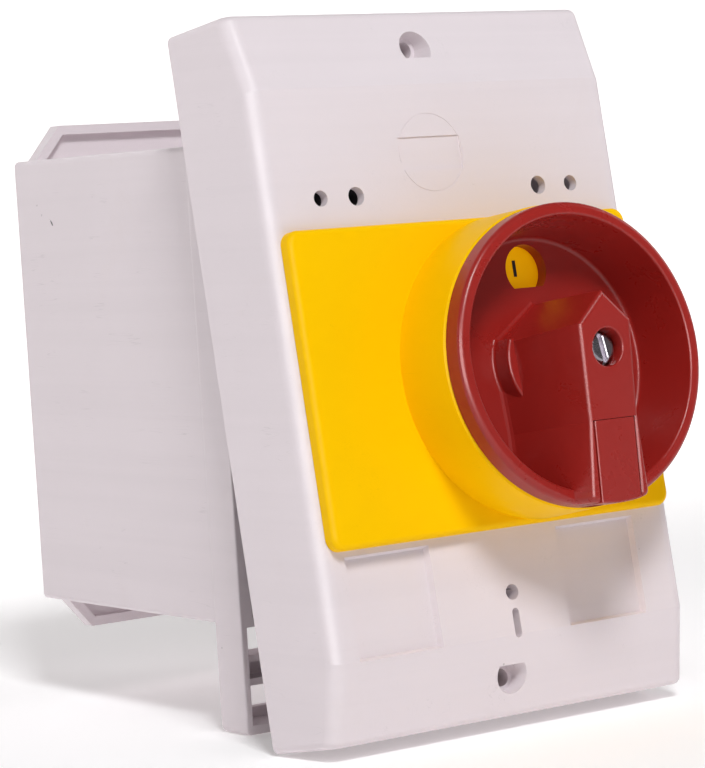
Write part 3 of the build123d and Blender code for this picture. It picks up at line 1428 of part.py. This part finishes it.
def make_handle_screw():
    """Slotted cheese-head screw on the handle's axis."""
    with BuildPart() as handle_screw:
        with BuildSketch(dial.offset(HEAD_TOP - HEAD_T)):
            Circle(HEAD_R)
        extrude(amount=HEAD_T)
        fillet(handle_screw.faces().sort_by(dial_axis)[-1].edges(), radius=HEAD_EDGE_R)
        with BuildSketch(dial.offset(HEAD_TOP - HEAD_SLOT_DEPTH)):
            Rectangle(HEAD_SLOT_W, 3 * HEAD_R, rotation=HEAD_SLOT_ANGLE)
        extrude(amount=2 * HEAD_SLOT_DEPTH, mode=Mode.SUBTRACT)
        halves = handle_screw.faces().sort_by(dial_axis)[-2:]
        chamfer(halves.edges().filter_by(GeomType.LINE), length=HEAD_SLOT_CHAMFER)
        with BuildSketch(dial.offset(HEAD_TOP - HEAD_T)):
            Circle(HANDLE_SCREW_R)
        extrude(amount=-HANDLE_SCREW_L)
    save(handle_screw, "handle_screw")


def make_screw_washer():
    """Flat washer under the screw head."""
    with BuildPart() as screw_washer:
        with BuildSketch(dial.offset(HEAD_TOP - HEAD_T - WASHER_T)):
            Circle(WASHER_R)
            Circle(HANDLE_SCREW_R + WASHER_PLAY, mode=Mode.SUBTRACT)
        extrude(amount=WASHER_T)
    save(screw_washer, "screw_washer")


def make_drive_shaft():
    """Square steel shaft from the handle to the driver, tapped for the screw."""
    with BuildPart() as drive_shaft:
        with BuildSketch(dial.offset(SHAFT_BACK)):
            RectangleRounded(SHAFT_SIDE, SHAFT_SIDE, SHAFT_EDGE_R)
        extrude(amount=SHAFT_FRONT - SHAFT_BACK)
        with BuildSketch(dial.offset(SHAFT_FRONT - SHAFT_TAP_L)):
            Circle(HANDLE_SCREW_R)
        extrude(amount=SHAFT_TAP_L, mode=Mode.SUBTRACT)
        with BuildSketch(driver_pin_plane()):
            Circle(PIN_R)
        extrude(amount=DRIVER_R, both=True, mode=Mode.SUBTRACT)
    save(drive_shaft, "drive_shaft")


def driver_pin_plane():
    """Plane through the handle's axis whose normal is the cross pin's axis."""
    centre = dial.from_local_coords(Vector(0, 0, PIN_D))
    return Plane(origin=centre, x_dir=dial.y_dir, z_dir=dial.x_dir)


def make_driver():
    """Slotted driver on the shaft's rear end, which straddles the switch's key bar."""
    with BuildPart() as driver:
        with BuildSketch(dial.offset(DRIVER_BACK)):
            Circle(DRIVER_R)
        extrude(amount=DRIVER_FRONT - DRIVER_BACK)
        with BuildSketch(dial.offset(DRIVER_BACK)):
            Rectangle(DRIVER_SLOT_W, 3 * DRIVER_R)
        extrude(amount=DRIVER_SLOT_DEPTH, mode=Mode.SUBTRACT)
        with BuildSketch(dial.offset(SHAFT_BACK)):
            Rectangle(SHAFT_SIDE + SOCKET_PLAY, SHAFT_SIDE + SOCKET_PLAY)
        extrude(amount=DRIVER_FRONT - SHAFT_BACK, mode=Mode.SUBTRACT)
        with BuildSketch(driver_pin_plane()):
            Circle(PIN_R)
        extrude(amount=2 * DRIVER_R, both=True, mode=Mode.SUBTRACT)
    save(driver, "driver")


def make_driver_pin():
    """Cross pin that fixes the driver to the shaft."""
    with BuildPart() as driver_pin:
        with BuildSketch(driver_pin_plane()):
            Circle(PIN_R)
        extrude(amount=PIN_HALF_L, both=True)
    save(driver_pin, "driver_pin")


def make_retaining_clip():
    """Spring clip in the stem's groove behind the bush."""
    with BuildPart() as retaining_clip:
        with BuildSketch(dial.offset(CLIP_D)):
            Circle(CLIP_R)
            Circle(CLIP_BORE_R, mode=Mode.SUBTRACT)
            with Locations((0, -CLIP_R)):
                Rectangle(CLIP_MOUTH_W, CLIP_MOUTH_L, mode=Mode.SUBTRACT)
        extrude(amount=CLIP_T)
    save(retaining_clip, "retaining_clip")


make_rear_box()
make_screw_inserts()
make_din_rail()
make_rail_screws()
make_entry_grommets(1, "top_grommets")
make_entry_grommets(-1, "bottom_grommets")
make_terminal_block(terminal_block_places()[0], "earth_block")
make_terminal_block(terminal_block_places()[1], "neutral_block")
make_block_screws()
make_switch_base()
make_din_latch()
make_switch_housing()
make_contact_strips(1, "line_strips")
make_contact_strips(-1, "load_strips")
make_fixed_tips()
make_terminal_clamps(1, "line_clamps")
make_terminal_clamps(-1, "load_clamps")
make_terminal_screws(1, "line_screws")
make_terminal_screws(-1, "load_screws")
make_arc_plates()
make_contact_carrier()
make_contact_bridges()
make_moving_tips()
make_contact_springs()
make_rotor()
make_rotor_knob()
make_cover_shell()
make_cover_ferrules()
make_cover_seal()
make_yellow_plate()
make_plate_screws()
make_shaft_bush()
make_shaft_seal()
make_position_disc()
make_position_marks()
make_handle()
make_lock_slide()
make_slide_spring()
make_handle_screw()
make_screw_washer()
make_drive_shaft()
make_driver()
make_driver_pin()
make_retaining_clip()
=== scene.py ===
import json
import math

import bpy
from mathutils import Matrix, Vector


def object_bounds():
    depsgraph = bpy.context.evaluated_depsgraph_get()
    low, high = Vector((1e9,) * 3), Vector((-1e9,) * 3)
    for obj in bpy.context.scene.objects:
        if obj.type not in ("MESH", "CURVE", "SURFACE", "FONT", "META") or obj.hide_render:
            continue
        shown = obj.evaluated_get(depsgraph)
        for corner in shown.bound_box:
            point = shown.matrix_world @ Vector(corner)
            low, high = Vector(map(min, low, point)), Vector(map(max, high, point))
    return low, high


# ---------------------------------------------------------------- constants
MM = 0.001

# camera: a long lens, low at the object's front left
CAMERA_AZIMUTH = math.radians(-35.256)
CAMERA_ELEVATION = math.radians(3.657)
CAMERA_ROLL = math.radians(-3.568)
CAMERA_DISTANCE = 701.296 * MM
CAMERA_SLIDE_RIGHT = -6.058 * MM
CAMERA_SLIDE_UP = -2.487 * MM
AIM_Y = -93.5 * MM
SENSOR = 36.0
LENS = 140.94
CLIP_START = 0.01
CLIP_END = 20.0

# lights: name, place, side of the square, power, colour
LIGHTS = (
    ("key", (-0.42, -1.08, 1.1), 0.34, 15.0, (0.975, 0.99, 1.0)),
    ("left", (-1.2, -0.5, 0.3), 0.35, 0.1, (1.0, 0.94, 0.92)),
    ("fill", (1.2, -0.4, 0.5), 0.6, 2.6, (1.0, 0.98, 0.99)),
)
# seen only in glossy reflections: the wide softbox beside the camera that draws the rounded edges
# name, place, width, height, power
EDGE_LIGHT = ("edge", (-0.95, -0.9, 0.15), 1.2, 0.9, 34.0)
LIGHT_AIM = (0, -0.1, 0)
WORLD_LIGHT = 0.16
WORLD_COLOUR = (1.0, 0.985, 0.985, 1.0)

# floor: flat in front, a quarter round behind, then a wall
FLOOR_GAP = 0.2 * MM
FLOOR_FRONT = -4.8
FLOOR_HALF_WIDTH = 8.0
SWEEP_START = 1.44
SWEEP_R = 0.8
SWEEP_STEPS = 12
WALL_TOP = 2.4
FLOOR_TINTS = ((0.9, 0.895, 0.9), (0.94, 0.935, 0.935))
FLOOR_TINT_SCALE = 3.0
FLOOR_ROUGHNESS = 0.8
FLOOR_GLOW_COLOUR = (1.0, 0.97, 0.965, 1.0)
FLOOR_GLOW_FRONT = 0.21
FLOOR_GLOW_BACK = 0.81
FLOOR_GLOW_RISE = (0.0, 0.5)

# moulded plastic: noise scales are in cells per metre
DRIFT_SCALE = 16.0
HAZE_SCALE = 70.0
HAZE_AMOUNT = 0.22
HAZE_SHADE = 0.94
MID_GRAIN = 0.22
GLOSS_SPREAD = (-0.05, 0.06)
FLOW_STRETCH = (4.0, 4.0, 190.0)
FLOW_SHADE = 0.9
DUST_SCALE = 34.0
DUST_TINT = (0.86, 0.8, 0.72)
SCRATCH_SHADE = 0.72
SCRATCH_ROUGHNESS = 0.15
SCRATCH_SETS = ((900.0, (0.5, 0.2, 0.4)), (700.0, (1.9, 0.9, 0.1)))
SPECK_SHADE = 0.35
SPECK_SETS = ((105.0, 0.03, 0.05), (260.0, 0.02, 0.09))
SCUFF_COLOUR = (0.03, 0.026, 0.024)
MID_BUMP = 0.25
FINE_BUMP = 0.5

# shapes of the marks
SPOT_CORE = 0.6
HAIR_STRETCH = 0.035
HAIR_HALF_WIDTH = 0.012
CLUMP_SCALE = 0.12
CLUMP_LEVELS = (0.58, 0.72)
FRAY_SCALE = 1400.0
FRAY_AMOUNT = (-0.5, 0.6)
SCUFF_EDGE = (0.6, 1.1)

# metal
LINE_SCALE = 1500.0
LINE_STRETCH = (1.0, 1.0, 9.0)
PATCH_SCALE = 240.0
LINE_GLOSS = (-0.03, 0.05)
PATCH_GLOSS = (-0.04, 0.1)
LINE_BUMP = 0.3
LINE_DEPTH = 0.006 * MM


# ---------------------------------------------------------------- node helpers
def new_material(name):
    material = bpy.data.materials.new(name)
    material.use_nodes = True
    tree = material.node_tree
    tree.nodes.clear()
    output = tree.nodes.new("ShaderNodeOutputMaterial")
    shader = tree.nodes.new("ShaderNodeBsdfPrincipled")
    tree.links.new(shader.outputs["BSDF"], output.inputs["Surface"])
    return material, tree, shader


def link(tree, output, socket):
    tree.links.new(output, socket)


def position(tree):
    return tree.nodes.new("ShaderNodeTexCoord").outputs["Object"]


def noise(tree, vector, scale, detail=2.0, roughness=0.5, distortion=0.0):
    node = tree.nodes.new("ShaderNodeTexNoise")
    link(tree, vector, node.inputs["Vector"])
    node.inputs["Scale"].default_value = scale
    node.inputs["Detail"].default_value = detail
    node.inputs["Roughness"].default_value = roughness
    node.inputs["Distortion"].default_value = distortion
    return node.outputs["Fac"]


def ramp(tree, value, low, high, out_low=0.0, out_high=1.0):
    """Smooth step from out_low, where value is low or less, to out_high, where it is high or more."""
    node = tree.nodes.new("ShaderNodeMapRange")
    node.interpolation_type = "SMOOTHSTEP"
    link(tree, value, node.inputs["Value"])
    node.inputs["From Min"].default_value = low
    node.inputs["From Max"].default_value = high
    node.inputs["To Min"].default_value = out_low
    node.inputs["To Max"].default_value = out_high
    return node.outputs["Result"]


def math_node(tree, operation, a, b=0.0):
    node = tree.nodes.new("ShaderNodeMath")
    node.operation = operation
    for socket, value in zip(node.inputs, (a, b)):
        if isinstance(value, (int, float)):
            socket.default_value = value
        else:
            link(tree, value, socket)
    return node.outputs[0]


def mix_colour(tree, factor, a, b):
    node = tree.nodes.new("ShaderNodeMix")
    node.data_type = "RGBA"
    sockets = [s for s in node.inputs if s.enabled]
    link(tree, factor, sockets[0])
    for socket, value in zip(sockets[1:], (a, b)):
        if isinstance(value, tuple):
            socket.default_value = (*value, 1.0)
        else:
            link(tree, value, socket)
    return next(s for s in node.outputs if s.enabled)


def bump(tree, height, strength, distance, normal=None):
    node = tree.nodes.new("ShaderNodeBump")
    node.inputs["Strength"].default_value = strength
    node.inputs["Distance"].default_value = distance
    link(tree, height, node.inputs["Height"])
    if normal is not None:
        link(tree, normal, node.inputs["Normal"])
    return node.outputs["Normal"]


def separate(tree, vector, axis):
    node = tree.nodes.new("ShaderNodeSeparateXYZ")
    link(tree, vector, node.inputs[0])
    return node.outputs[axis]


def stretched(tree, place, scale, rotation=(0.0, 0.0, 0.0)):
    node = tree.nodes.new("ShaderNodeMapping")
    node.inputs["Scale"].default_value = scale
    node.inputs["Rotation"].default_value = rotation
    link(tree, place, node.inputs["Vector"])
    return node.outputs["Vector"]


def srgb(red, green, blue):
    """Scene-linear colour of 8-bit screen values."""

    def channel(value):
        value /= 255
        return value / 12.92 if value <= 0.04045 else ((value + 0.055) / 1.055) ** 2.4

    return (channel(red), channel(green), channel(blue))


def shade(colour, factor):
    return tuple(min(1.0, c * factor) for c in colour)


# ---------------------------------------------------------------- marks
def speckle(tree, place, scale, share, size):
    """1 in a few small round spots, 0 elsewhere: share of cells that hold one, size in cell widths."""
    cells = tree.nodes.new("ShaderNodeTexVoronoi")
    link(tree, place, cells.inputs["Vector"])
    cells.inputs["Scale"].default_value = scale
    lot = separate(tree, cells.outputs["Color"], 0)
    chosen = math_node(tree, "GREATER_THAN", lot, 1.0 - share)
    spot = ramp(tree, cells.outputs["Distance"], size * SPOT_CORE, size, 1.0, 0.0)
    return math_node(tree, "MULTIPLY", chosen, spot)


def hairlines(tree, place, scale, rotation):
    """Sparse thin straight scratches that run along one direction."""
    warp = stretched(tree, place, (scale, scale * HAIR_STRETCH, scale), rotation)
    lines = noise(tree, warp, 1.0, detail=1.0, roughness=0.4)
    off_centre = math_node(tree, "ABSOLUTE", math_node(tree, "SUBTRACT", lines, 0.5))
    thin = ramp(tree, off_centre, 0.0, HAIR_HALF_WIDTH, 1.0, 0.0)
    clumps = noise(tree, place, scale * CLUMP_SCALE)
    return math_node(tree, "MULTIPLY", thin, ramp(tree, clumps, *CLUMP_LEVELS))


def scuff(tree, place, centre, length, width, angle):
    """One short ragged mark at a place on the moulding's side."""
    moved = tree.nodes.new("ShaderNodeVectorMath")
    moved.operation = "SUBTRACT"
    link(tree, place, moved.inputs[0])
    moved.inputs[1].default_value = centre
    turned = stretched(tree, moved.outputs[0], (1.0, 1.0, 1.0), (angle, 0.0, 0.0))
    along = math_node(tree, "DIVIDE", separate(tree, turned, 1), length / 2)
    across = math_node(tree, "DIVIDE", separate(tree, turned, 2), width / 2)
    depth = math_node(tree, "DIVIDE", separate(tree, turned, 0), width)
    total = math_node(tree, "MULTIPLY", along, along)
    for share in (across, depth):
        total = math_node(tree, "ADD", total, math_node(tree, "MULTIPLY", share, share))
    fray = ramp(tree, noise(tree, place, FRAY_SCALE, roughness=0.6), 0.3, 0.7, *FRAY_AMOUNT)
    ragged = math_node(tree, "ADD", total, fray)
    return ramp(tree, ragged, *SCUFF_EDGE, 1.0, 0.0)


# ---------------------------------------------------------------- materials
def moulded(name, colour, roughness, grain=2600.0, grain_depth=0.02, variation=0.03, specular=0.5,
            specks=0.0, scratches=0.0, scuffs=(), flow=0.0, dust=0.0, glow=0.0):
    """Injection-moulded plastic: fine spark-eroded grain, slow drift of colour, haze and marks."""
    material, tree, shader = new_material(name)
    place = position(tree)
    drift = noise(tree, place, DRIFT_SCALE, detail=3.0, roughness=0.55)
    haze = noise(tree, place, HAZE_SCALE, detail=5.0, roughness=0.65, distortion=0.4)
    fine = noise(tree, place, grain, roughness=0.6)
    mid = noise(tree, place, grain * MID_GRAIN)
    darker, lighter = shade(colour, 1.0 - variation), shade(colour, 1.0 + variation)
    body = mix_colour(tree, ramp(tree, drift, 0.3, 0.7), darker, lighter)
    dulled = ramp(tree, haze, 0.62, 0.85, 0.0, HAZE_AMOUNT)
    body = mix_colour(tree, dulled, body, shade(colour, HAZE_SHADE))
    glossy, matt = (roughness + change for change in GLOSS_SPREAD)
    rough = ramp(tree, haze, 0.25, 0.75, glossy, matt)
    if flow:
        drawn = stretched(tree, place, FLOW_STRETCH)
        bands = noise(tree, drawn, 1.0, detail=3.0, roughness=0.55, distortion=0.6)
        streaks = ramp(tree, bands, 0.35, 0.75, 0.0, flow)
        body = mix_colour(tree, streaks, body, shade(colour, FLOW_SHADE))
    if dust:
        settled = noise(tree, place, DUST_SCALE, detail=6.0, roughness=0.7, distortion=0.8)
        grime = ramp(tree, settled, 0.55, 0.8, 0.0, dust)
        body = mix_colour(tree, grime, body, tuple(c * d for c, d in zip(colour, DUST_TINT)))
    if scratches:
        sets = [hairlines(tree, place, scale, rotation) for scale, rotation in SCRATCH_SETS]
        lines = math_node(tree, "MAXIMUM", *sets)
        worn = math_node(tree, "MULTIPLY", lines, scratches)
        body = mix_colour(tree, worn, body, shade(colour, SCRATCH_SHADE))
        rough = math_node(tree, "ADD", rough, math_node(tree, "MULTIPLY", lines, SCRATCH_ROUGHNESS))
    if specks:
        sets = [speckle(tree, place, scale, share, size) for scale, share, size in SPECK_SETS]
        dots = math_node(tree, "MULTIPLY", math_node(tree, "MAXIMUM", *sets), specks)
        body = mix_colour(tree, dots, body, shade(colour, SPECK_SHADE))
    for centre, length, width, angle, strength in scuffs:
        mark = scuff(tree, place, centre, length, width, angle)
        body = mix_colour(tree, math_node(tree, "MULTIPLY", mark, strength), body, SCUFF_COLOUR)
    link(tree, body, shader.inputs["Base Color"])
    link(tree, rough, shader.inputs["Roughness"])
    shader.inputs["Specular IOR Level"].default_value = specular
    normal = bump(tree, mid, MID_BUMP, grain_depth * MM * 2)
    normal = bump(tree, fine, FINE_BUMP, grain_depth * MM, normal)
    link(tree, normal, shader.inputs["Normal"])
    # painted light: the emission is a painted glow, standing in for light that comes through a
    # translucent part
    if glow:
        shader.inputs["Emission Color"].default_value = (*colour, 1.0)
        shader.inputs["Emission Strength"].default_value = glow
    return material


def metal(name, colour, roughness, tarnish=(0.5, 0.45, 0.4), tarnish_amount=0.15):
    """Plated or bare metal: fine scratches, patches of duller plating."""
    material, tree, shader = new_material(name)
    place = position(tree)
    drawn = stretched(tree, place, LINE_STRETCH)
    lines = noise(tree, drawn, LINE_SCALE, detail=3.0, roughness=0.65)
    patch = noise(tree, place, PATCH_SCALE, detail=4.0, roughness=0.6)
    body = mix_colour(tree, ramp(tree, patch, 0.45, 0.8, 0.0, tarnish_amount), colour, tarnish)
    link(tree, body, shader.inputs["Base Color"])
    shader.inputs["Metallic"].default_value = 1.0
    glossy, matt = (roughness + change for change in PATCH_GLOSS)
    patchy = ramp(tree, patch, 0.3, 0.75, glossy, matt)
    rough = math_node(tree, "ADD", patchy, ramp(tree, lines, 0.3, 0.7, *LINE_GLOSS))
    link(tree, rough, shader.inputs["Roughness"])
    link(tree, bump(tree, lines, LINE_BUMP, LINE_DEPTH), shader.inputs["Normal"])
    return material


GREY = srgb(228, 218, 222)
MEMBRANE_GREY = srgb(176, 168, 168)
YELLOW = (0.985, 0.57, 0.0)
LIT_YELLOW = (0.985, 0.5, 0.0)
RED = (0.335, 0.015, 0.011)

# marks on the box's left side: centre, length, width, angle, strength
SCUFFS = (
    ((-0.0415, -0.0185, 0.0392), 0.0021, 0.0007, -0.75, 0.85),
    ((-0.0415, -0.0120, 0.0436), 0.0009, 0.0005, 0.3, 0.25),
    ((-0.0415, -0.0140, 0.0412), 0.0007, 0.0005, 1.1, 0.3),
)

# name: colour, roughness, and what differs from the plain kind
MOULDINGS = {
    "grey_moulding": (GREY, 0.42, dict(
        grain=2400.0, variation=0.012, specular=0.3, specks=0.5, scratches=0.35, scuffs=SCUFFS,
        flow=0.25, dust=0.12)),
    "yellow_moulding": (YELLOW, 0.36, dict(
        grain_depth=0.012, variation=0.012, specular=0.05, specks=0.25, scratches=0.2, dust=0.1)),
    "red_moulding": (RED, 0.3, dict(
        grain_depth=0.008, variation=0.05, specular=0.42, scratches=0.3)),
    # painted glow on the position disc, standing in for light through the translucent plate
    "glow_yellow": (LIT_YELLOW, 0.4, dict(
        grain_depth=0.008, variation=0.02, specular=0.1, glow=0.32)),
    "black_moulding": ((0.02, 0.02, 0.021), 0.45, dict(scratches=0.2)),
    "dark_moulding": ((0.05, 0.052, 0.055), 0.5, dict(scratches=0.2)),
    "bush_moulding": ((0.5, 0.5, 0.46), 0.4, {}),
    "membrane": (MEMBRANE_GREY, 0.6, dict(grain=1800.0, grain_depth=0.03, dust=0.3)),
    "seal_rubber": ((0.018, 0.018, 0.018), 0.7, dict(
        grain=1800.0, grain_depth=0.03, variation=0.05)),
    "mark_black": ((0.008, 0.008, 0.008), 0.5, {}),
}
METALS = {
    "zinc_steel": ((0.72, 0.74, 0.78), 0.24, {}),
    # painted shade: the screw head's metal and tarnish are darkened to stand in for the dark cup it
    # reflects
    "dull_zinc": ((0.3, 0.28, 0.31), 0.26, dict(tarnish=(0.12, 0.1, 0.11), tarnish_amount=0.6)),
    "spring_steel": ((0.42, 0.42, 0.43), 0.3, {}),
    "brass": ((0.78, 0.6, 0.3), 0.25, dict(tarnish=(0.45, 0.3, 0.15))),
    "copper": ((0.86, 0.48, 0.32), 0.28, dict(tarnish=(0.4, 0.2, 0.12))),
    "silver": ((0.8, 0.79, 0.76), 0.3, dict(tarnish=(0.35, 0.33, 0.3))),
}
materials = {
    name: make(name, colour, roughness, **extra)
    for make, kinds in ((moulded, MOULDINGS), (metal, METALS))
    for name, (colour, roughness, extra) in kinds.items()
}

# ---------------------------------------------------------------- the frame
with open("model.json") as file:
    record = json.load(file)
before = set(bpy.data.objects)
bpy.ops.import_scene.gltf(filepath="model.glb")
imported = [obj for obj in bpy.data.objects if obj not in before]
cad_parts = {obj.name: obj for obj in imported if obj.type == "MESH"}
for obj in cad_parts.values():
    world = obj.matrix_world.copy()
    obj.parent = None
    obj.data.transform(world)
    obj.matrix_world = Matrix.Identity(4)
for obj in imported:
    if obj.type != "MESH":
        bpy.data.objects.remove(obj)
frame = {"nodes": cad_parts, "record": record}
cad_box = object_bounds()
slots = {s["node"]: s["material_slot"] for s in frame["record"]["subparts"]}
# painted glow: the disc's emission stands in for the light that comes through the translucent plate
# painted shade on the screw head: darkened metal that stands in for the dark cup it reflects
slots.update(position_disc="glow_yellow", handle_screw="dull_zinc")
for node, obj in frame["nodes"].items():
    obj.data.materials.clear()
    obj.data.materials.append(materials[slots[node]])


# ---------------------------------------------------------------- camera
def make_camera():
    az, el = CAMERA_AZIMUTH, CAMERA_ELEVATION
    back = Vector((math.sin(az) * math.cos(el), -math.cos(az) * math.cos(el), math.sin(el)))
    right = Vector((math.cos(az), math.sin(az), 0.0))
    up = back.cross(right)
    data = bpy.data.cameras.new("camera")
    data.sensor_fit = "AUTO"
    data.sensor_width = SENSOR
    data.lens = LENS
    data.dof.use_dof = False
    data.clip_start = CLIP_START
    data.clip_end = CLIP_END
    camera = bpy.data.objects.new("camera", data)
    bpy.context.scene.collection.objects.link(camera)
    rolled_right = math.cos(CAMERA_ROLL) * right + math.sin(CAMERA_ROLL) * up
    rolled_up = -math.sin(CAMERA_ROLL) * right + math.cos(CAMERA_ROLL) * up
    slide = CAMERA_SLIDE_RIGHT * right + CAMERA_SLIDE_UP * up
    place = CAMERA_DISTANCE * back + slide + Vector((0, AIM_Y, 0))
    camera.matrix_world = Matrix((
        (rolled_right.x, rolled_up.x, back.x, place.x),
        (rolled_right.y, rolled_up.y, back.y, place.y),
        (rolled_right.z, rolled_up.z, back.z, place.z),
        (0, 0, 0, 1),
    ))
    bpy.context.scene.camera = camera


make_camera()


# ---------------------------------------------------------------- studio
def area_light(name, place, width, height, power, colour=(1, 1, 1)):
    data = bpy.data.lights.new(name, "AREA")
    data.shape = "RECTANGLE"
    data.size = width
    data.size_y = height
    data.energy = power
    data.color = colour
    light = bpy.data.objects.new(name, data)
    bpy.context.scene.collection.objects.link(light)
    light.location = place
    light.rotation_mode = "QUATERNION"
    light.rotation_quaternion = (Vector(place) - Vector(LIGHT_AIM)).to_track_quat("Z", "Y")
    return light


def make_floor():
    """Plain white sweep, lit from within like a light table."""
    mesh = bpy.data.meshes.new("floor")
    floor_z = cad_box[0].z - FLOOR_GAP
    profile = [(FLOOR_FRONT, floor_z)]
    for i in range(SWEEP_STEPS + 1):
        a = math.pi / 2 * i / SWEEP_STEPS
        y, z = SWEEP_R * math.sin(a), SWEEP_R * (1 - math.cos(a))
        profile.append((SWEEP_START + y, floor_z + z))
    profile.append((SWEEP_START + SWEEP_R, floor_z + WALL_TOP))
    verts = [(x, y, z) for y, z in profile for x in (-FLOOR_HALF_WIDTH, FLOOR_HALF_WIDTH)]
    faces = [(2 * i, 2 * i + 1, 2 * i + 3, 2 * i + 2) for i in range(len(profile) - 1)]
    mesh.from_pydata(verts, [], faces)
    for polygon in mesh.polygons:
        polygon.use_smooth = True
    floor = bpy.data.objects.new("floor", mesh)
    bpy.context.scene.collection.objects.link(floor)
    material, tree, shader = new_material("floor")
    tint = noise(tree, position(tree), FLOOR_TINT_SCALE)
    link(tree, mix_colour(tree, tint, *FLOOR_TINTS), shader.inputs["Base Color"])
    shader.inputs["Roughness"].default_value = FLOOR_ROUGHNESS
    shader.inputs["Specular IOR Level"].default_value = 0.0
    shader.inputs["Emission Color"].default_value = FLOOR_GLOW_COLOUR
    behind = separate(tree, position(tree), 1)
    glow = ramp(tree, behind, *FLOOR_GLOW_RISE, FLOOR_GLOW_FRONT, FLOOR_GLOW_BACK)
    link(tree, glow, shader.inputs["Emission Strength"])
    mesh.materials.append(material)


def make_studio():
    world = bpy.data.worlds.new("studio")
    world.use_nodes = True
    background = world.node_tree.nodes["Background"]
    background.inputs["Color"].default_value = WORLD_COLOUR
    background.inputs["Strength"].default_value = WORLD_LIGHT
    bpy.context.scene.world = world
    for name, place, side, power, colour in LIGHTS:
        area_light(name, place, side, side, power, colour)
    area_light(*EDGE_LIGHT).visible_diffuse = False
    make_floor()


make_studio()
scene = bpy.context.scene
scene.view_settings.view_transform = "Standard"
scene.view_settings.look = "None"
